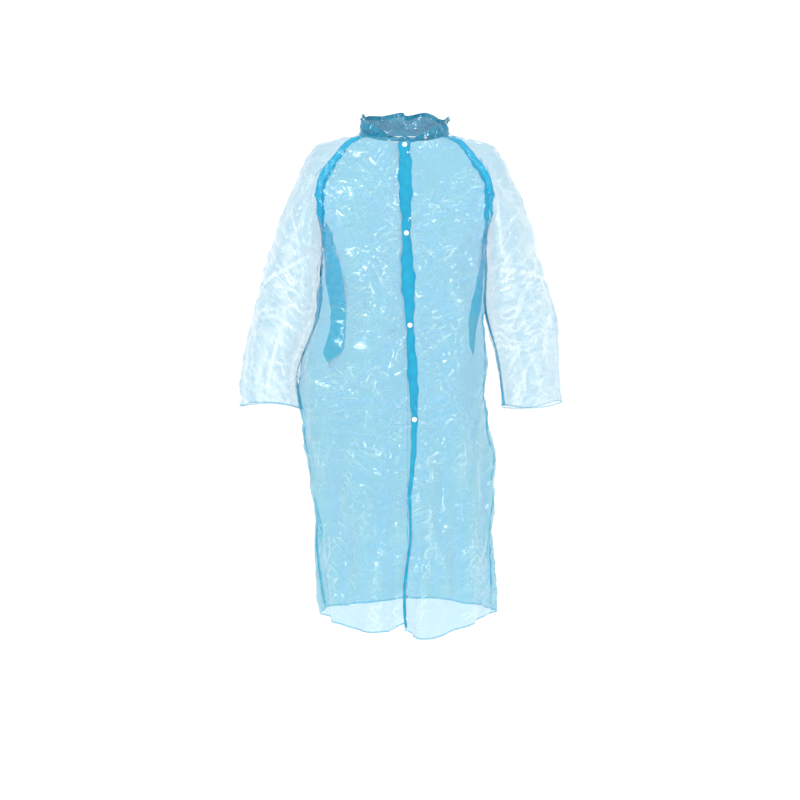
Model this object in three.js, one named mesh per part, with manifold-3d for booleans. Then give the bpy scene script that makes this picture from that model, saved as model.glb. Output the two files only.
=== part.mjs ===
// Disposable film lab coat, standing in its worn shape with nobody in it.
// Millimetres. +Z is up, the front faces -Y, and the wearer's left is +X.
// The origin is at the base of the neck, where the coat rests on the shoulders.
import * as THREE from 'three';
import { ParametricGeometry } from 'three/addons/geometries/ParametricGeometry.js';
import { mergeVertices } from 'three/addons/utils/BufferGeometryUtils.js';
import Module from 'manifold-3d';

// ---- Driving dimensions ----

const filmWall = 1.2; // stand-in wall for a film a few hundredths of a millimetre thick
const seamGap = 0.5; // running gap between two pieces that are welded together
const layerGap = 0.3; // gap between two pieces that lie on each other

// Body of the coat: half width, front depth and back depth at each height.
const armpitHeight = -250;
const bodyRings = [
  { z: -1085, halfWidth: 198, front: 165, back: 150 },
  { z: -900, halfWidth: 205, front: 150, back: 145 },
  { z: -717, halfWidth: 214, front: 137, back: 140 },
  { z: -545, halfWidth: 214, front: 128, back: 134 },
  { z: -400, halfWidth: 192, front: 122, back: 128 },
  { z: armpitHeight, halfWidth: 188, front: 117, back: 122 },
];
const bodySquareness = 0.85; // 1 is a true ellipse, less is a squarer section
const frontHemDrop = 24; // the front hem hangs lower than the side seams
const leftHemDrop = 10; // the overlapping left front hangs lower still
const frontLean = [
  // how far the front edge hangs to the wearer's left at each height
  { z: -1120, x: -2 },
  { z: -850, x: 12 },
  { z: -647, x: 22 },
  { z: -435, x: 12 },
  { z: -227, x: 4 },
  { z: -19, x: 0 },
];

// Neck opening and collar.
const neck = { halfWidth: 105, halfDepth: 88, centreY: -12, front: -19, back: 20 };
const neckSeamAngle = 72; // degrees from the front, where the raglan seams start
const collarHeight = 48;
const collarFrontHeight = 22;
const collarTop = { halfWidth: 92, halfDepth: 76 };

// Sleeves. The section at each station is an ellipse from its inner to its outer point,
// and sweep is how far round from the outer point the film goes on each side, in degrees.
const shoulderPivot = { x: 185, z: -60 };
const shoulderRadius = 79; // the arm of the sleeve starts at this radius round the pivot
const shoulderSplitAngles = { seam: 14.6, outer: 69 }; // from straight down, outwards
const shoulderSplitDepth = 72;
const shoulderSplitGap = 0.8;
const armholeRow = { outer: [287, -150], inner: [176.2, -181.8], depth: 78, sweep: 125 };
const armpitRow = { outer: [314, -227], inner: [191, -250], depth: 80, sweep: 180 };
const upperShoulderRows = [
  { outer: [156, -2], seam: [142, -29], centreY: -6, depth: 48 },
  { outer: [218, -13], seam: [189, -80], centreY: 0, depth: 66 },
];
const armRows = [
  { outer: [346, -345], inner: [203, -382], depth: 78 },
  { outer: [365, -470], inner: [229, -502], depth: 70 },
  { outer: [377, -608], inner: [241, -620], depth: 62 },
];

// Fronts: the line that each front folds along when it opens, from neck to hem.
const foldTop = { x: 60, z: -8 };
const foldBottom = { x: 150, z: -1100 };
const foldGap = 0.8;
const placketWidth = 25;
const overlapEase = 26; // distance in which the under front steps back to the body line

// Heat-welded seams.
const raglanWeldWidth = 11;
const raglanWeldInset = 2.5; // from the seam, so that the raised sleeve clears it
const raglanNeckLift = 0.7; // the band stands a little prouder where it runs up to the neck
const innerWeldWidth = 9;
const innerWeldGap = 1.3; // clears the flats of the wall that an inner weld lies along

// Press snaps: a cap and socket on the left front, a stud and back cap on the right front.
const snapHeights = [-19, -227, -435, -647];
const capRadius = 5.6;
const capThickness = 1.5;
const postRadius = 1.1;
const holeClearance = 0.4;
const socketRadius = 4.6;
const socketThickness = 2.0;
const socketFloor = 0.9;
const studRadius = 4.0;
const studThickness = 0.8;
const studTipRadius = 2.0;
const studTipHeight = 0.8;
const studClearance = 0.6;
const postReach = 0.5; // how far each post goes into its socket or stud
const snapGap = 0.45; // between a snap's flat faces and the sheets or the snap half they lie on
const snapPocket = socketThickness + studThickness + 3 * snapGap; // between the two fronts

const film = { color: 0x8fd3ee, roughness: 0.28, metalness: 0 };
const seamFilm = { color: 0x2db4e2, roughness: 0.3, metalness: 0 };
const snapPlastic = { color: 0xf4f6f7, roughness: 0.4, metalness: 0 };

// ---- Helpers ----

const wasm = await Module();
wasm.setup();

const lerp = THREE.MathUtils.lerp;
const smooth = THREE.MathUtils.smoothstep;
const radians = THREE.MathUtils.degToRad;

// A smooth value through a list of stations, read at height z.
function station(list, key, z) {
  const ordered = [...list].sort((a, b) => a.z - b.z);
  if (z <= ordered[0].z) return ordered[0][key];
  const last = ordered.length - 1;
  if (z >= ordered[last].z) return ordered[last][key];
  const i = ordered.findIndex((s) => s.z > z) - 1;
  const at = (j) => ordered[Math.min(Math.max(j, 0), last)];
  const slope = (j) => {
    const a = at(j - 1);
    const b = at(j + 1);
    return (b[key] - a[key]) / (b.z - a.z);
  };
  const span = at(i + 1).z - at(i).z;
  const t = (z - at(i).z) / span;
  const t2 = t * t;
  const t3 = t2 * t;
  return (
    (2 * t3 - 3 * t2 + 1) * at(i)[key] +
    (t3 - 2 * t2 + t) * span * slope(i) +
    (3 * t2 - 2 * t3) * at(i + 1)[key] +
    (t3 - t2) * span * slope(i + 1)
  );
}

// The unit normal of surface at (u, v). turn is +1 or -1 and makes it point outwards.
function normalAt(surface, u, v, turn) {
  const step = 1e-3; // a thousandth of the surface each way
  const du = surface(u + step, v).sub(surface(u - step, v));
  const dv = surface(u, v + step).sub(surface(u, v - step));
  return du.cross(dv).normalize().multiplyScalar(turn);
}

// A closed sheet between two offsets of a surface, over u and v from 0 to 1.
// offset(u, v) gives the distance of its outer face from the surface, outwards.
function sheet(surface, { across, along, turn, offset = () => 0, wall = filmWall }) {
  const columns = 2 * across + 2;
  const rows = along + 2;
  const point = (s, t, target) => {
    const column = Math.round(s * columns) % columns;
    const row = Math.round(t * rows);
    const outer = column <= across;
    const u = (outer ? column : 2 * across + 1 - column) / across;
    const v = Math.min(Math.max(row - 1, 0), along) / along;
    const closing = row === 0 || row === rows;
    const depth = closing ? wall / 2 : outer ? 0 : wall;
    const normal = normalAt(surface, u, v, turn);
    target.copy(surface(u, v)).addScaledVector(normal, offset(u, v) - depth);
  };
  return facingOut(new ParametricGeometry(point, columns, rows));
}

// Weld a geometry's shared vertices, drop its empty triangles, and turn it right side out.
function facingOut(geometry) {
  geometry.deleteAttribute('normal');
  geometry.deleteAttribute('uv');
  const welded = mergeVertices(geometry, 1e-4);
  const kept = [];
  const index = welded.index.array;
  for (let i = 0; i < index.length; i += 3) {
    const [a, b, c] = [index[i], index[i + 1], index[i + 2]];
    if (a !== b && b !== c && c !== a) kept.push(a, b, c);
  }
  if (volume(welded.attributes.position, kept) < 0) kept.reverse();
  welded.setIndex(kept);
  return welded;
}

// Six times the signed volume inside a closed set of triangles.
function volume(position, index) {
  const [a, b, c] = [new THREE.Vector3(), new THREE.Vector3(), new THREE.Vector3()];
  let total = 0;
  for (let i = 0; i < index.length; i += 3) {
    a.fromBufferAttribute(position, index[i]);
    b.fromBufferAttribute(position, index[i + 1]);
    c.fromBufferAttribute(position, index[i + 2]);
    total += a.dot(b.cross(c));
  }
  return total;
}

function solidOf(geometry) {
  return new wasm.Manifold(
    new wasm.Mesh({
      numProp: 3,
      vertProperties: new Float32Array(geometry.attributes.position.array),
      triVerts: new Uint32Array(geometry.index.array),
    }),
  );
}

function geometryOf(solid) {
  const { vertProperties, triVerts } = solid.getMesh();
  const geometry = new THREE.BufferGeometry();
  geometry.setAttribute('position', new THREE.BufferAttribute(vertProperties, 3));
  geometry.setIndex(new THREE.BufferAttribute(triVerts, 1));
  return geometry;
}

const coat = new THREE.Group();

function add(name, geometry, finish) {
  const mesh = new THREE.Mesh(geometry, new THREE.MeshStandardMaterial(finish));
  mesh.name = name;
  coat.add(mesh);
  return mesh;
}

// ---- Sleeve surface ----

// A point at radius round the shoulder pivot, angle from straight down towards the outside.
const splitPoint = (angle, radius) => [
  shoulderPivot.x + radius * Math.sin(radians(angle)),
  shoulderPivot.z - radius * Math.cos(radians(angle)),
];

// A point on the neckline, angle from the front.
function neckPoint(angle) {
  const s = Math.sin(radians(angle));
  const c = Math.cos(radians(angle));
  const z = lerp(neck.front, neck.back, (1 - c) / 2);
  return new THREE.Vector3(neck.halfWidth * s, neck.centreY - neck.halfDepth * c, z);
}

// The shoulder's sections run from the neck to the split, the arm's from the split to the cuff.
function sleeveStations() {
  const seamAtNeck = neckPoint(neckSeamAngle);
  const topAtNeck = neckPoint(90);
  const splitSeam = splitPoint(shoulderSplitAngles.seam, shoulderRadius);
  const splitOuter = splitPoint(shoulderSplitAngles.outer, shoulderRadius);
  const halfTurn = (shoulderSplitAngles.outer - shoulderSplitAngles.seam) / 2;
  const bow = shoulderRadius * (1 - Math.cos(radians(halfTurn)));
  const open = ({ outer, seam, centreY, depth }) => ({
    centre: seam,
    reach: [outer[0] - seam[0], outer[1] - seam[1]],
    centreY,
    depth,
    sweep: 90,
    bow: 0,
  });
  const round = ({ outer, inner, depth, sweep = 180 }) => ({
    centre: [(outer[0] + inner[0]) / 2, (outer[1] + inner[1]) / 2],
    reach: [(outer[0] - inner[0]) / 2, (outer[1] - inner[1]) / 2],
    centreY: 0,
    depth,
    sweep,
    bow: 0,
  });
  const atNeck = open({
    outer: [topAtNeck.x, topAtNeck.z],
    seam: [seamAtNeck.x, seamAtNeck.z],
    centreY: neck.centreY,
    depth: neck.centreY - seamAtNeck.y,
  });
  const atSplit = open({
    outer: splitOuter,
    seam: splitSeam,
    centreY: 0,
    depth: shoulderSplitDepth,
  });
  atSplit.bow = bow;
  return {
    shoulder: [atNeck, ...upperShoulderRows.map(open), atSplit],
    arm: [atSplit, round(armholeRow), round(armpitRow), ...armRows.map(round)],
  };
}

const stations = sleeveStations();

// A smooth blend of a list of sections at position t, from 0 to the list's last index.
function section(list, t) {
  const last = list.length - 1;
  const i = Math.min(Math.max(Math.floor(t), 0), last - 1);
  const f = t - i;
  const mix = (read) => {
    const p = [i - 1, i, i + 1, i + 2].map((j) => read(list[Math.min(Math.max(j, 0), last)]));
    const m0 = i === 0 ? p[2] - p[1] : (p[2] - p[0]) / 2;
    const m1 = i === last - 1 ? p[2] - p[1] : (p[3] - p[1]) / 2;
    const a = 2 * p[1] - 2 * p[2] + m0 + m1;
    const b = 3 * p[2] - 3 * p[1] - 2 * m0 - m1;
    return ((a * f + b) * f + m0) * f + p[1];
  };
  return {
    x: mix((s) => s.centre[0]),
    z: mix((s) => s.centre[1]),
    reachX: mix((s) => s.reach[0]),
    reachZ: mix((s) => s.reach[1]),
    y: mix((s) => s.centreY),
    depth: mix((s) => s.depth),
    sweep: Math.min(180, lerp(list[i].sweep, list[i + 1].sweep, f)),
    bow: mix((s) => s.bow),
  };
}

// The point at angle round a section, 0 at its outer point, negative towards the front.
function sectionPoint(s, angle) {
  const c = Math.cos(radians(angle));
  const length = Math.hypot(s.reachX, s.reachZ);
  const bow = (4 * s.bow * c * (1 - c)) / length;
  return new THREE.Vector3(
    s.x + s.reachX * c - s.reachZ * bow * -1,
    s.y + s.depth * Math.sin(radians(angle)),
    s.z + s.reachZ * c - s.reachX * bow,
  );
}

const shoulderEnd = stations.shoulder.length - 1;
const armEnd = stations.arm.length - 1;
const splitShare = 0.02; // share of the last shoulder stretch that the split gap takes
const armpitPosition = 2;

// The edge of the sleeve along its raglan seam, h from 0 at the armpit to 1 at the neck.
// side is -1 for the front seam and +1 for the back seam.
function seamPoint(h, side) {
  const path = h * (shoulderEnd + armpitPosition);
  if (path <= armpitPosition) {
    const s = section(stations.arm, armpitPosition - path);
    return sectionPoint(s, side * s.sweep);
  }
  const s = section(stations.shoulder, shoulderEnd - (path - armpitPosition));
  return sectionPoint(s, side * s.sweep);
}

// ---- Body surface ----

const hemHeight = bodyRings[0].z;

// One row across half of the front or back, at position v: 0 at the hem,
// armpitShare at the armpit, 1 at the neckline.
const armpitShare = 0.5;

function bodyRow(v, side) {
  const front = side < 0;
  if (v <= armpitShare) {
    const z = lerp(hemHeight, armpitHeight, v / armpitShare);
    const depth = station(bodyRings, front ? 'front' : 'back', z);
    const drop = front ? frontHemDrop * (1 - smooth(v / armpitShare, 0, 1)) : 0;
    return {
      edge: new THREE.Vector3(station(bodyRings, 'halfWidth', z), 0, z),
      middle: new THREE.Vector3(0, side * depth, z - drop),
      turn: 90,
      square: bodySquareness,
    };
  }
  const h = (v - armpitShare) / (1 - armpitShare);
  const edge = seamPoint(h, side);
  edge.x -= seamGap * (1 - h);
  const top = neckPoint(front ? 0 : 180);
  const start = side * station(bodyRings, front ? 'front' : 'back', armpitHeight);
  const bulge = Math.sin((h * Math.PI) / 2);
  return {
    edge,
    middle: new THREE.Vector3(0, lerp(start, top.y, h * h), lerp(armpitHeight, top.z, h)),
    turn: lerp(90, front ? neckSeamAngle : 180 - neckSeamAngle, h * h) - 8 * (bulge - h),
    square: lerp(bodySquareness, 1, h),
  };
}

// The body surface at row v, k from 0 at the middle of the front or back to 1 at its edge.
// k below 0 crosses the middle. hand is +1 on the wearer's left and -1 on the right.
function bodyPoint(v, k, side, hand) {
  const row = bodyRow(v, side);
  const angle = radians(Math.min(Math.abs(k), 1) * row.turn);
  const end = radians(row.turn);
  const out = Math.pow(Math.sin(angle) / Math.sin(end), row.square);
  const fall = (1 - signedPower(Math.cos(angle), row.square));
  const round = fall / (1 - signedPower(Math.cos(end), row.square));
  const z = lerp(row.middle.z, row.edge.z, round);
  const lean = side < 0 ? station(frontLean, 'x', z) : 0;
  const reach = hand * row.edge.x - lean;
  return new THREE.Vector3(
    lean + Math.sign(k) * reach * out,
    lerp(row.middle.y, row.edge.y, round),
    z,
  );
}

function signedPower(value, power) {
  return Math.sign(value) * Math.pow(Math.abs(value), power);
}

// The k at which a row passes x, by bisection.
function kAtX(v, x, side, hand) {
  let low = -0.4;
  let high = 1;
  for (let i = 0; i < 30; i += 1) {
    const middle = (low + high) / 2;
    if (hand * bodyPoint(v, middle, side, hand).x < hand * x) low = middle;
    else high = middle;
  }
  return (low + high) / 2;
}

const foldX = (z) => lerp(foldTop.x, foldBottom.x, (foldTop.z - z) / (foldTop.z - foldBottom.z));

// The k at which row v of the front crosses the fold line, moved by shift towards the side.
function kAtFold(v, hand, shift) {
  let k = 0.5;
  for (let i = 0; i < 6; i += 1) {
    const z = bodyPoint(v, k, -1, hand).z;
    k = kAtX(v, hand * (foldX(z) + shift), -1, hand);
  }
  return k;
}

// ---- Pieces ----

const handName = (hand) => (hand > 0 ? 'left' : 'right');

// Tabulated once, because the fold and the placket edges need a search on every row.
function edgeTable(read, rows) {
  const values = Array.from({ length: rows + 1 }, (_, i) => read(i / rows));
  return (v) => {
    const at = Math.min(Math.max(v, 0), 1) * rows;
    const i = Math.min(Math.floor(at), rows - 1);
    return lerp(values[i], values[i + 1], at - i);
  };
}

const tableRows = 60;
const bodyRows = 20;
const backColumns = 16;
const sideColumns = 6;
const placketColumns = 2;
const sleeveColumns = 12;
const rowsPerStation = 2; // rows of a sleeve between two stations, so that its seams share points
const weldColumns = 1;

function backPanel() {
  const surface = (u, v) => {
    const k = 2 * u - 1;
    const hand = k < 0 ? -1 : 1;
    return bodyPoint(v, Math.abs(k) * sideEdge(v), 1, hand);
  };
  add('back_panel', sheet(surface, { across: backColumns, along: bodyRows, turn: -1 }), film);
}

// The share of a row that a panel covers, so that it stops half a gap short of its seam.
function sideEdge(v) {
  const row = bodyRow(Math.min(Math.max(v, 0), 1), 1);
  return 1 - seamGap / 2 / row.edge.x;
}

function frontSide(hand) {
  const inner = edgeTable((v) => kAtFold(v, hand, foldGap / 2), tableRows);
  const surface = (u, v) => bodyPoint(v, lerp(inner(v), sideEdge(v), u), -1, hand);
  const geometry = sheet(surface, { across: sideColumns, along: bodyRows, turn: hand });
  add(`front_side_${handName(hand)}`, geometry, film);
}

// How far the under front steps inwards behind the left front and its placket.
const underStep = filmWall + snapPocket + filmWall + layerGap;

function underOffset(x) {
  const fromEdge = -x - placketWidth / 2 - seamGap;
  return -underStep * (1 - smooth(fromEdge, 0, overlapEase));
}

// Column edges across a front, measured from its lip: the placket band, the ease, the rest.
const bandColumns = 2;
const easeColumns = 3;
const restColumns = 3;
const flapColumns = bandColumns + easeColumns + restColumns;

function frontFlap(hand) {
  const under = hand < 0;
  const bandEdge = placketWidth / 2 + seamGap;
  const atLean = (distance) =>
    edgeTable((v) => {
      const lean = station(frontLean, 'x', bodyPoint(v, 0, -1, hand).z);
      return kAtX(v, lean + hand * distance, -1, hand);
    }, tableRows);
  const edges = [
    atLean(-placketWidth / 2),
    atLean(bandEdge),
    atLean(bandEdge + overlapEase),
    edgeTable((v) => kAtFold(v, hand, -foldGap / 2), tableRows),
  ];
  const breaks = [0, bandColumns, bandColumns + easeColumns, flapColumns];
  const surface = (u, v) => {
    const column = u * flapColumns;
    const i = column <= breaks[1] ? 0 : column <= breaks[2] ? 1 : 2;
    const share = (column - breaks[i]) / (breaks[i + 1] - breaks[i]);
    const p = bodyPoint(v, lerp(edges[i](v), edges[i + 1](v), share), -1, hand);
    if (!under) p.z -= leftHemDrop * (1 - smooth(v, 0, 0.2)) * (1 - smooth(u, 0.5, 1));
    return p;
  };
  const offset = (u, v) => {
    if (!under) return 0;
    const p = surface(u, v);
    return underOffset(p.x - station(frontLean, 'x', p.z));
  };
  return sheet(surface, { across: flapColumns, along: bodyRows, turn: hand, offset });
}

// The folded strip along a front's edge, on its outer face.
function placket(hand) {
  const edges = [-1, 1].map((end) =>
    edgeTable((v) => {
      const lean = station(frontLean, 'x', bodyPoint(v, 0, -1, hand).z);
      const x = lean + (end * hand * (placketWidth - 2 * seamGap)) / 2;
      return kAtX(v, x, -1, hand);
    }, tableRows),
  );
  const surface = (u, v) => {
    const p = bodyPoint(v, lerp(edges[0](v), edges[1](v), u), -1, hand);
    if (hand > 0) p.z -= leftHemDrop * (1 - smooth(v, 0, 0.2));
    return p;
  };
  const base = filmWall + layerGap;
  const offset = () => base - (hand < 0 ? underStep : 0);
  return sheet(surface, { across: placketColumns, along: bodyRows, turn: hand, offset });
}

// The direction and place of a snap: the outer face of the left placket, facing outwards.
function snapSeat(z) {
  const v = rowAtHeight(z);
  const surface = (u, w) => bodyPoint(w, u, -1, 1);
  const normal = normalAt(surface, 0, v, 1);
  return { place: surface(0, v), normal };
}

function rowAtHeight(z) {
  let low = 0;
  let high = 1;
  for (let i = 0; i < 30; i += 1) {
    const middle = (low + high) / 2;
    if (bodyPoint(middle, 0, -1, 1).z < z) low = middle;
    else high = middle;
  }
  return Math.min((low + high) / 2, topSnapRow);
}

const topSnapRow = 0.985; // the top snap sits just under the neckline
const lathe = (outline, sides = 14) =>
  facingOut(new THREE.LatheGeometry(outline.map(([r, y]) => new THREE.Vector2(r, y)), sides));

// Depths below the outer face of the left panel, along the snap's own axis.
const leftBack = -filmWall;
const socketFace = leftBack - snapGap;
const socketMouth = socketFace - socketThickness;
const studBack = socketMouth - snapGap - studThickness;
const rightBack = -underStep - filmWall;
const capSeat = filmWall + layerGap + snapGap;

function capOutline(head, tip) {
  const out = Math.sign(head - tip);
  return [
    [0, tip],
    [postRadius, tip],
    [postRadius, head],
    [capRadius, head],
    [capRadius, head + out * capThickness * 0.5],
    [capRadius * 0.7, head + out * capThickness],
    [0, head + out * capThickness],
  ];
}

const bore = postRadius + holeClearance;

const snapOutlines = {
  snap_cap: capOutline(capSeat, socketFace - postReach),
  snap_socket: [
    [bore, socketFace],
    [socketRadius, socketFace],
    [socketRadius, socketMouth],
    [studTipRadius + studClearance, socketMouth],
    [studTipRadius + studClearance, socketFace - socketFloor],
    [bore, socketFace - socketFloor],
    [bore, socketFace],
  ],
  snap_stud: [
    [bore, studBack],
    [bore, studBack + studThickness + studTipHeight],
    [studTipRadius, studBack + studThickness + studTipHeight],
    [studTipRadius, studBack + studThickness],
    [studRadius, studBack + studThickness],
    [studRadius, studBack],
    [bore, studBack],
  ],
  snap_back_cap: capOutline(rightBack - snapGap, studBack + postReach),
};

function placeOnFront(mesh, seat) {
  mesh.position.copy(seat.place);
  mesh.quaternion.setFromUnitVectors(new THREE.Vector3(0, 1, 0), seat.normal);
  return mesh;
}

// Cut the posts' holes through a panel or placket.
function pierced(geometry, seats) {
  let solid = solidOf(geometry);
  for (const seat of seats) {
    const drill = new THREE.Mesh(new THREE.CylinderGeometry(bore, bore, 4 * underStep, 12));
    drill.geometry.deleteAttribute('normal');
    drill.geometry.deleteAttribute('uv');
    placeOnFront(drill, seat).updateMatrix();
    const tool = mergeVertices(drill.geometry, 1e-4).applyMatrix4(drill.matrix);
    solid = solid.subtract(solidOf(tool));
  }
  return geometryOf(solid);
}

function fronts() {
  const seats = snapHeights.map(snapSeat);
  for (const hand of [1, -1]) {
    add(`front_panel_${handName(hand)}`, pierced(frontFlap(hand), seats), film);
    add(`placket_${handName(hand)}`, pierced(placket(hand), seats), seamFilm);
  }
  seats.forEach((seat, i) => {
    for (const [name, outline] of Object.entries(snapOutlines)) {
      placeOnFront(add(`${name}_${i + 1}`, lathe(outline), snapPlastic), seat);
    }
  });
}

function shoulder(hand) {
  const surface = (u, v) => {
    const s = section(stations.shoulder, v * (shoulderEnd - splitShare));
    const p = sectionPoint(s, lerp(-1, 1, u) * s.sweep);
    p.x *= hand;
    return p;
  };
  const along = rowsPerStation * shoulderEnd;
  const geometry = sheet(surface, { across: sleeveColumns, along, turn: -hand });
  add(`shoulder_${handName(hand)}`, geometry, film);
}

function sleeve(hand) {
  const surface = (u, v) => {
    const s = section(stations.arm, v * armEnd);
    const meeting = (seamGap / s.depth) * (90 / Math.PI);
    const p = sectionPoint(s, lerp(-1, 1, u) * (s.sweep - meeting));
    p.x += shoulderSplitGap * (1 - smooth(v * armEnd, 0, 1));
    p.z -= shoulderSplitGap * (1 - smooth(v * armEnd, 0, 1));
    p.x *= hand;
    return p;
  };
  const along = rowsPerStation * armEnd;
  const geometry = sheet(surface, { across: sleeveColumns, along, turn: -hand });
  add(`sleeve_${handName(hand)}`, geometry, film);
}

// The weld inside the sleeve that closes it under the arm.
function sleeveWeld(hand) {
  const start = armpitPosition + 0.06;
  const surface = (u, v) => {
    const s = section(stations.arm, lerp(start, armEnd, v));
    const half = (innerWeldWidth / 2 / s.depth) * (180 / Math.PI);
    const p = sectionPoint(s, 180 + lerp(-1, 1, u) * half);
    p.x *= hand;
    return p;
  };
  const offset = () => -filmWall - innerWeldGap;
  const along = rowsPerStation * (armEnd - armpitPosition);
  const options = { across: weldColumns, along, turn: -hand, offset };
  add(`sleeve_weld_${handName(hand)}`, sheet(surface, options), seamFilm);
}

// The weld inside the coat that joins front and back from armpit to hem.
function sideWeld(hand) {
  const top = armpitShare * (1 - 2 / bodyRows);
  const surface = (u, v) => {
    const along = lerp(0, top, v);
    const row = bodyRow(along, -1);
    const side = u < 0.5 ? -1 : 1;
    const share = (Math.abs(u - 0.5) * innerWeldWidth) / row.edge.x;
    return bodyPoint(along, 1 - share, side, hand);
  };
  const offset = () => -filmWall - innerWeldGap;
  const options = { across: 2, along: bodyRows / 2 - 1, turn: hand, offset };
  add(`side_weld_${handName(hand)}`, sheet(surface, options), seamFilm);
}

// The flat weld band on the body side of a raglan seam, from armpit to neck.
function raglanWeld(hand, side) {
  const rows = bodyRows / 2 - 1;
  const surface = (u, v) => {
    const along = 1 - (rows * (1 - v)) / bodyRows;
    const length = bodyRow(along, side).edge.x * (Math.PI / 2) * 0.8;
    const share = raglanWeldWidth / length;
    const inset = raglanWeldInset / length;
    return bodyPoint(along, lerp(1 - share - inset, 1 - inset, u), side, hand);
  };
  const offset = (u, v) => filmWall + layerGap + raglanNeckLift * smooth(v, 0.6, 0.9);
  const turn = side < 0 ? hand : -hand;
  const options = { across: weldColumns, along: rows, turn, offset };
  const place = side < 0 ? 'front' : 'back';
  add(`raglan_weld_${place}_${handName(hand)}`, sheet(surface, options), seamFilm);
}

// The standing collar, u round the neck in degrees from the front, v from base to top.
function collarPoint(angle, v) {
  const base = neckPoint(angle);
  const fullness = smooth(Math.abs(angle), 0, 70);
  const height = lerp(collarFrontHeight, collarHeight, fullness);
  const s = Math.sin(radians(angle));
  const c = Math.cos(radians(angle));
  return new THREE.Vector3(
    lerp(base.x, collarTop.halfWidth * s, v),
    lerp(base.y, neck.centreY - collarTop.halfDepth * c, v),
    base.z + seamGap + height * v,
  );
}

function collarFoldAngle(v, shift) {
  let angle = 30;
  for (let i = 0; i < 8; i += 1) {
    const half = lerp(neck.halfWidth, collarTop.halfWidth, v);
    const x = foldX(collarPoint(angle, v).z) + shift;
    angle = THREE.MathUtils.radToDeg(Math.asin(x / half));
  }
  return angle;
}

function collar() {
  const surface = (u, v) => {
    const edge = collarFoldAngle(v, foldGap / 2);
    const angle = lerp(edge, 360 - edge, u);
    return angle <= 180 ? collarPoint(angle, v) : mirrored(collarPoint(360 - angle, v));
  };
  add('collar', sheet(surface, { across: 24, along: 3, turn: 1 }), seamFilm);
  for (const hand of [1, -1]) {
    const end = (u, v) => {
      const p = collarPoint(lerp(1.2, collarFoldAngle(v, -foldGap / 2), u), v);
      return hand > 0 ? p : mirrored(p);
    };
    const options = { across: 4, along: 3, turn: hand };
    add(`collar_end_${handName(hand)}`, sheet(end, options), seamFilm);
  }
}

function mirrored(point) {
  point.x *= -1;
  return point;
}

backPanel();
fronts();
collar();
for (const hand of [1, -1]) {
  frontSide(hand);
  shoulder(hand);
  sleeve(hand);
  sleeveWeld(hand);
  sideWeld(hand);
  raglanWeld(hand, -1);
  raglanWeld(hand, 1);
}

export default coat;
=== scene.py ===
import math

import bmesh
import bpy
import numpy as np
from mathutils import Matrix, Vector, noise


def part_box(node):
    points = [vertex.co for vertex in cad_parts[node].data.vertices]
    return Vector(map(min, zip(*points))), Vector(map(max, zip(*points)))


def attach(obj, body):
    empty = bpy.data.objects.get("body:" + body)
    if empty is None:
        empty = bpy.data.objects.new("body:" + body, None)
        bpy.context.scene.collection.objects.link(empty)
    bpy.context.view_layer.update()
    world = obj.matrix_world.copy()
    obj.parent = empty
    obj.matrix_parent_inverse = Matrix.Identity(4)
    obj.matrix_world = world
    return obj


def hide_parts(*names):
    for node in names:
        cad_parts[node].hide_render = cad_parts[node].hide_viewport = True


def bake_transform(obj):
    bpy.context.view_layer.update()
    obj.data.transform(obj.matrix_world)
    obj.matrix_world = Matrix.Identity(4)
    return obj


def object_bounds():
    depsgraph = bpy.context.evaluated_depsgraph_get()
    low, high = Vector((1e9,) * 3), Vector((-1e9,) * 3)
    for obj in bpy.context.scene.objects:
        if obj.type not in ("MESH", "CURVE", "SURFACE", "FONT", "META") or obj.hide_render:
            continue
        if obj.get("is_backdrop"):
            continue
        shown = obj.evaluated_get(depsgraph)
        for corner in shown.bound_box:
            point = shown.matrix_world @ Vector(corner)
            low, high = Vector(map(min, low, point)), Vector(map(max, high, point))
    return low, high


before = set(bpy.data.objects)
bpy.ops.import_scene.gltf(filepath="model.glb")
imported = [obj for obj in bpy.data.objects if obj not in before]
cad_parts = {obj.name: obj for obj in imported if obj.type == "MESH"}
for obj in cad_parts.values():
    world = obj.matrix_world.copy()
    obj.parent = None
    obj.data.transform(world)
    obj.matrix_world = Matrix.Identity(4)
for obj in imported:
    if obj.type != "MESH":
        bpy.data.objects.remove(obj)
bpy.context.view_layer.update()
MM = 0.001
HANDS = (1, -1)  # the wearer's left, the wearer's right
NAMES = {1: "left", -1: "right"}

# ---- Sizes of the coat ----

# height, half width, front depth and back depth of the body, from hem to armpit
BODY = MM * np.array(
    [
        [-1085, 198, 165, 150],
        [-900, 205, 150, 145],
        [-717, 214, 137, 140],
        [-545, 214, 128, 134],
        [-400, 192, 122, 128],
        [-250, 188, 117, 122],
    ]
)
HEM, ARMPIT = BODY[0, 0], BODY[-1, 0]
SQUARENESS = 0.85
# height, and how far the front edge hangs to the wearer's left
LEAN = MM * np.array([[-1120, -2], [-850, 12], [-647, 22], [-435, 12], [-227, 4], [-19, 0]])
# height, and how far each side seam stands out from the even body: wearer's left, right
SIDE_HANG = MM * np.array(
    [
        [-1085, 2, -13],
        [-980, -3, -3],
        [-877, -5, 0],
        [-735, -8, 10],
        [-640, -26, 22],
        [-545, -28, 31],
        [-440, -14, 15],
        [-334, -3, 6],
        [-250, 0, 0],
    ]
)
FRONT_DROP = 0.024  # the front hem hangs lower than the side seams
LEFT_DROP = 0.010
# x, width and depth of the low places in the front hem, wearer's left and right
HEM_DIPS = {1: (0.062, 0.075, 0.017), -1: (-0.075, 0.065, 0.011)}

NECK_X, NECK_Y, NECK_CENTRE = 0.105, 0.088, -0.012
NECK_FRONT, NECK_BACK = -0.019, 0.020
NECK_SEAM = math.radians(72)
COLLAR_X, COLLAR_Y = 0.092, 0.076
COLLAR_HEIGHT, COLLAR_FRONT = 0.050, 0.013

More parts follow.
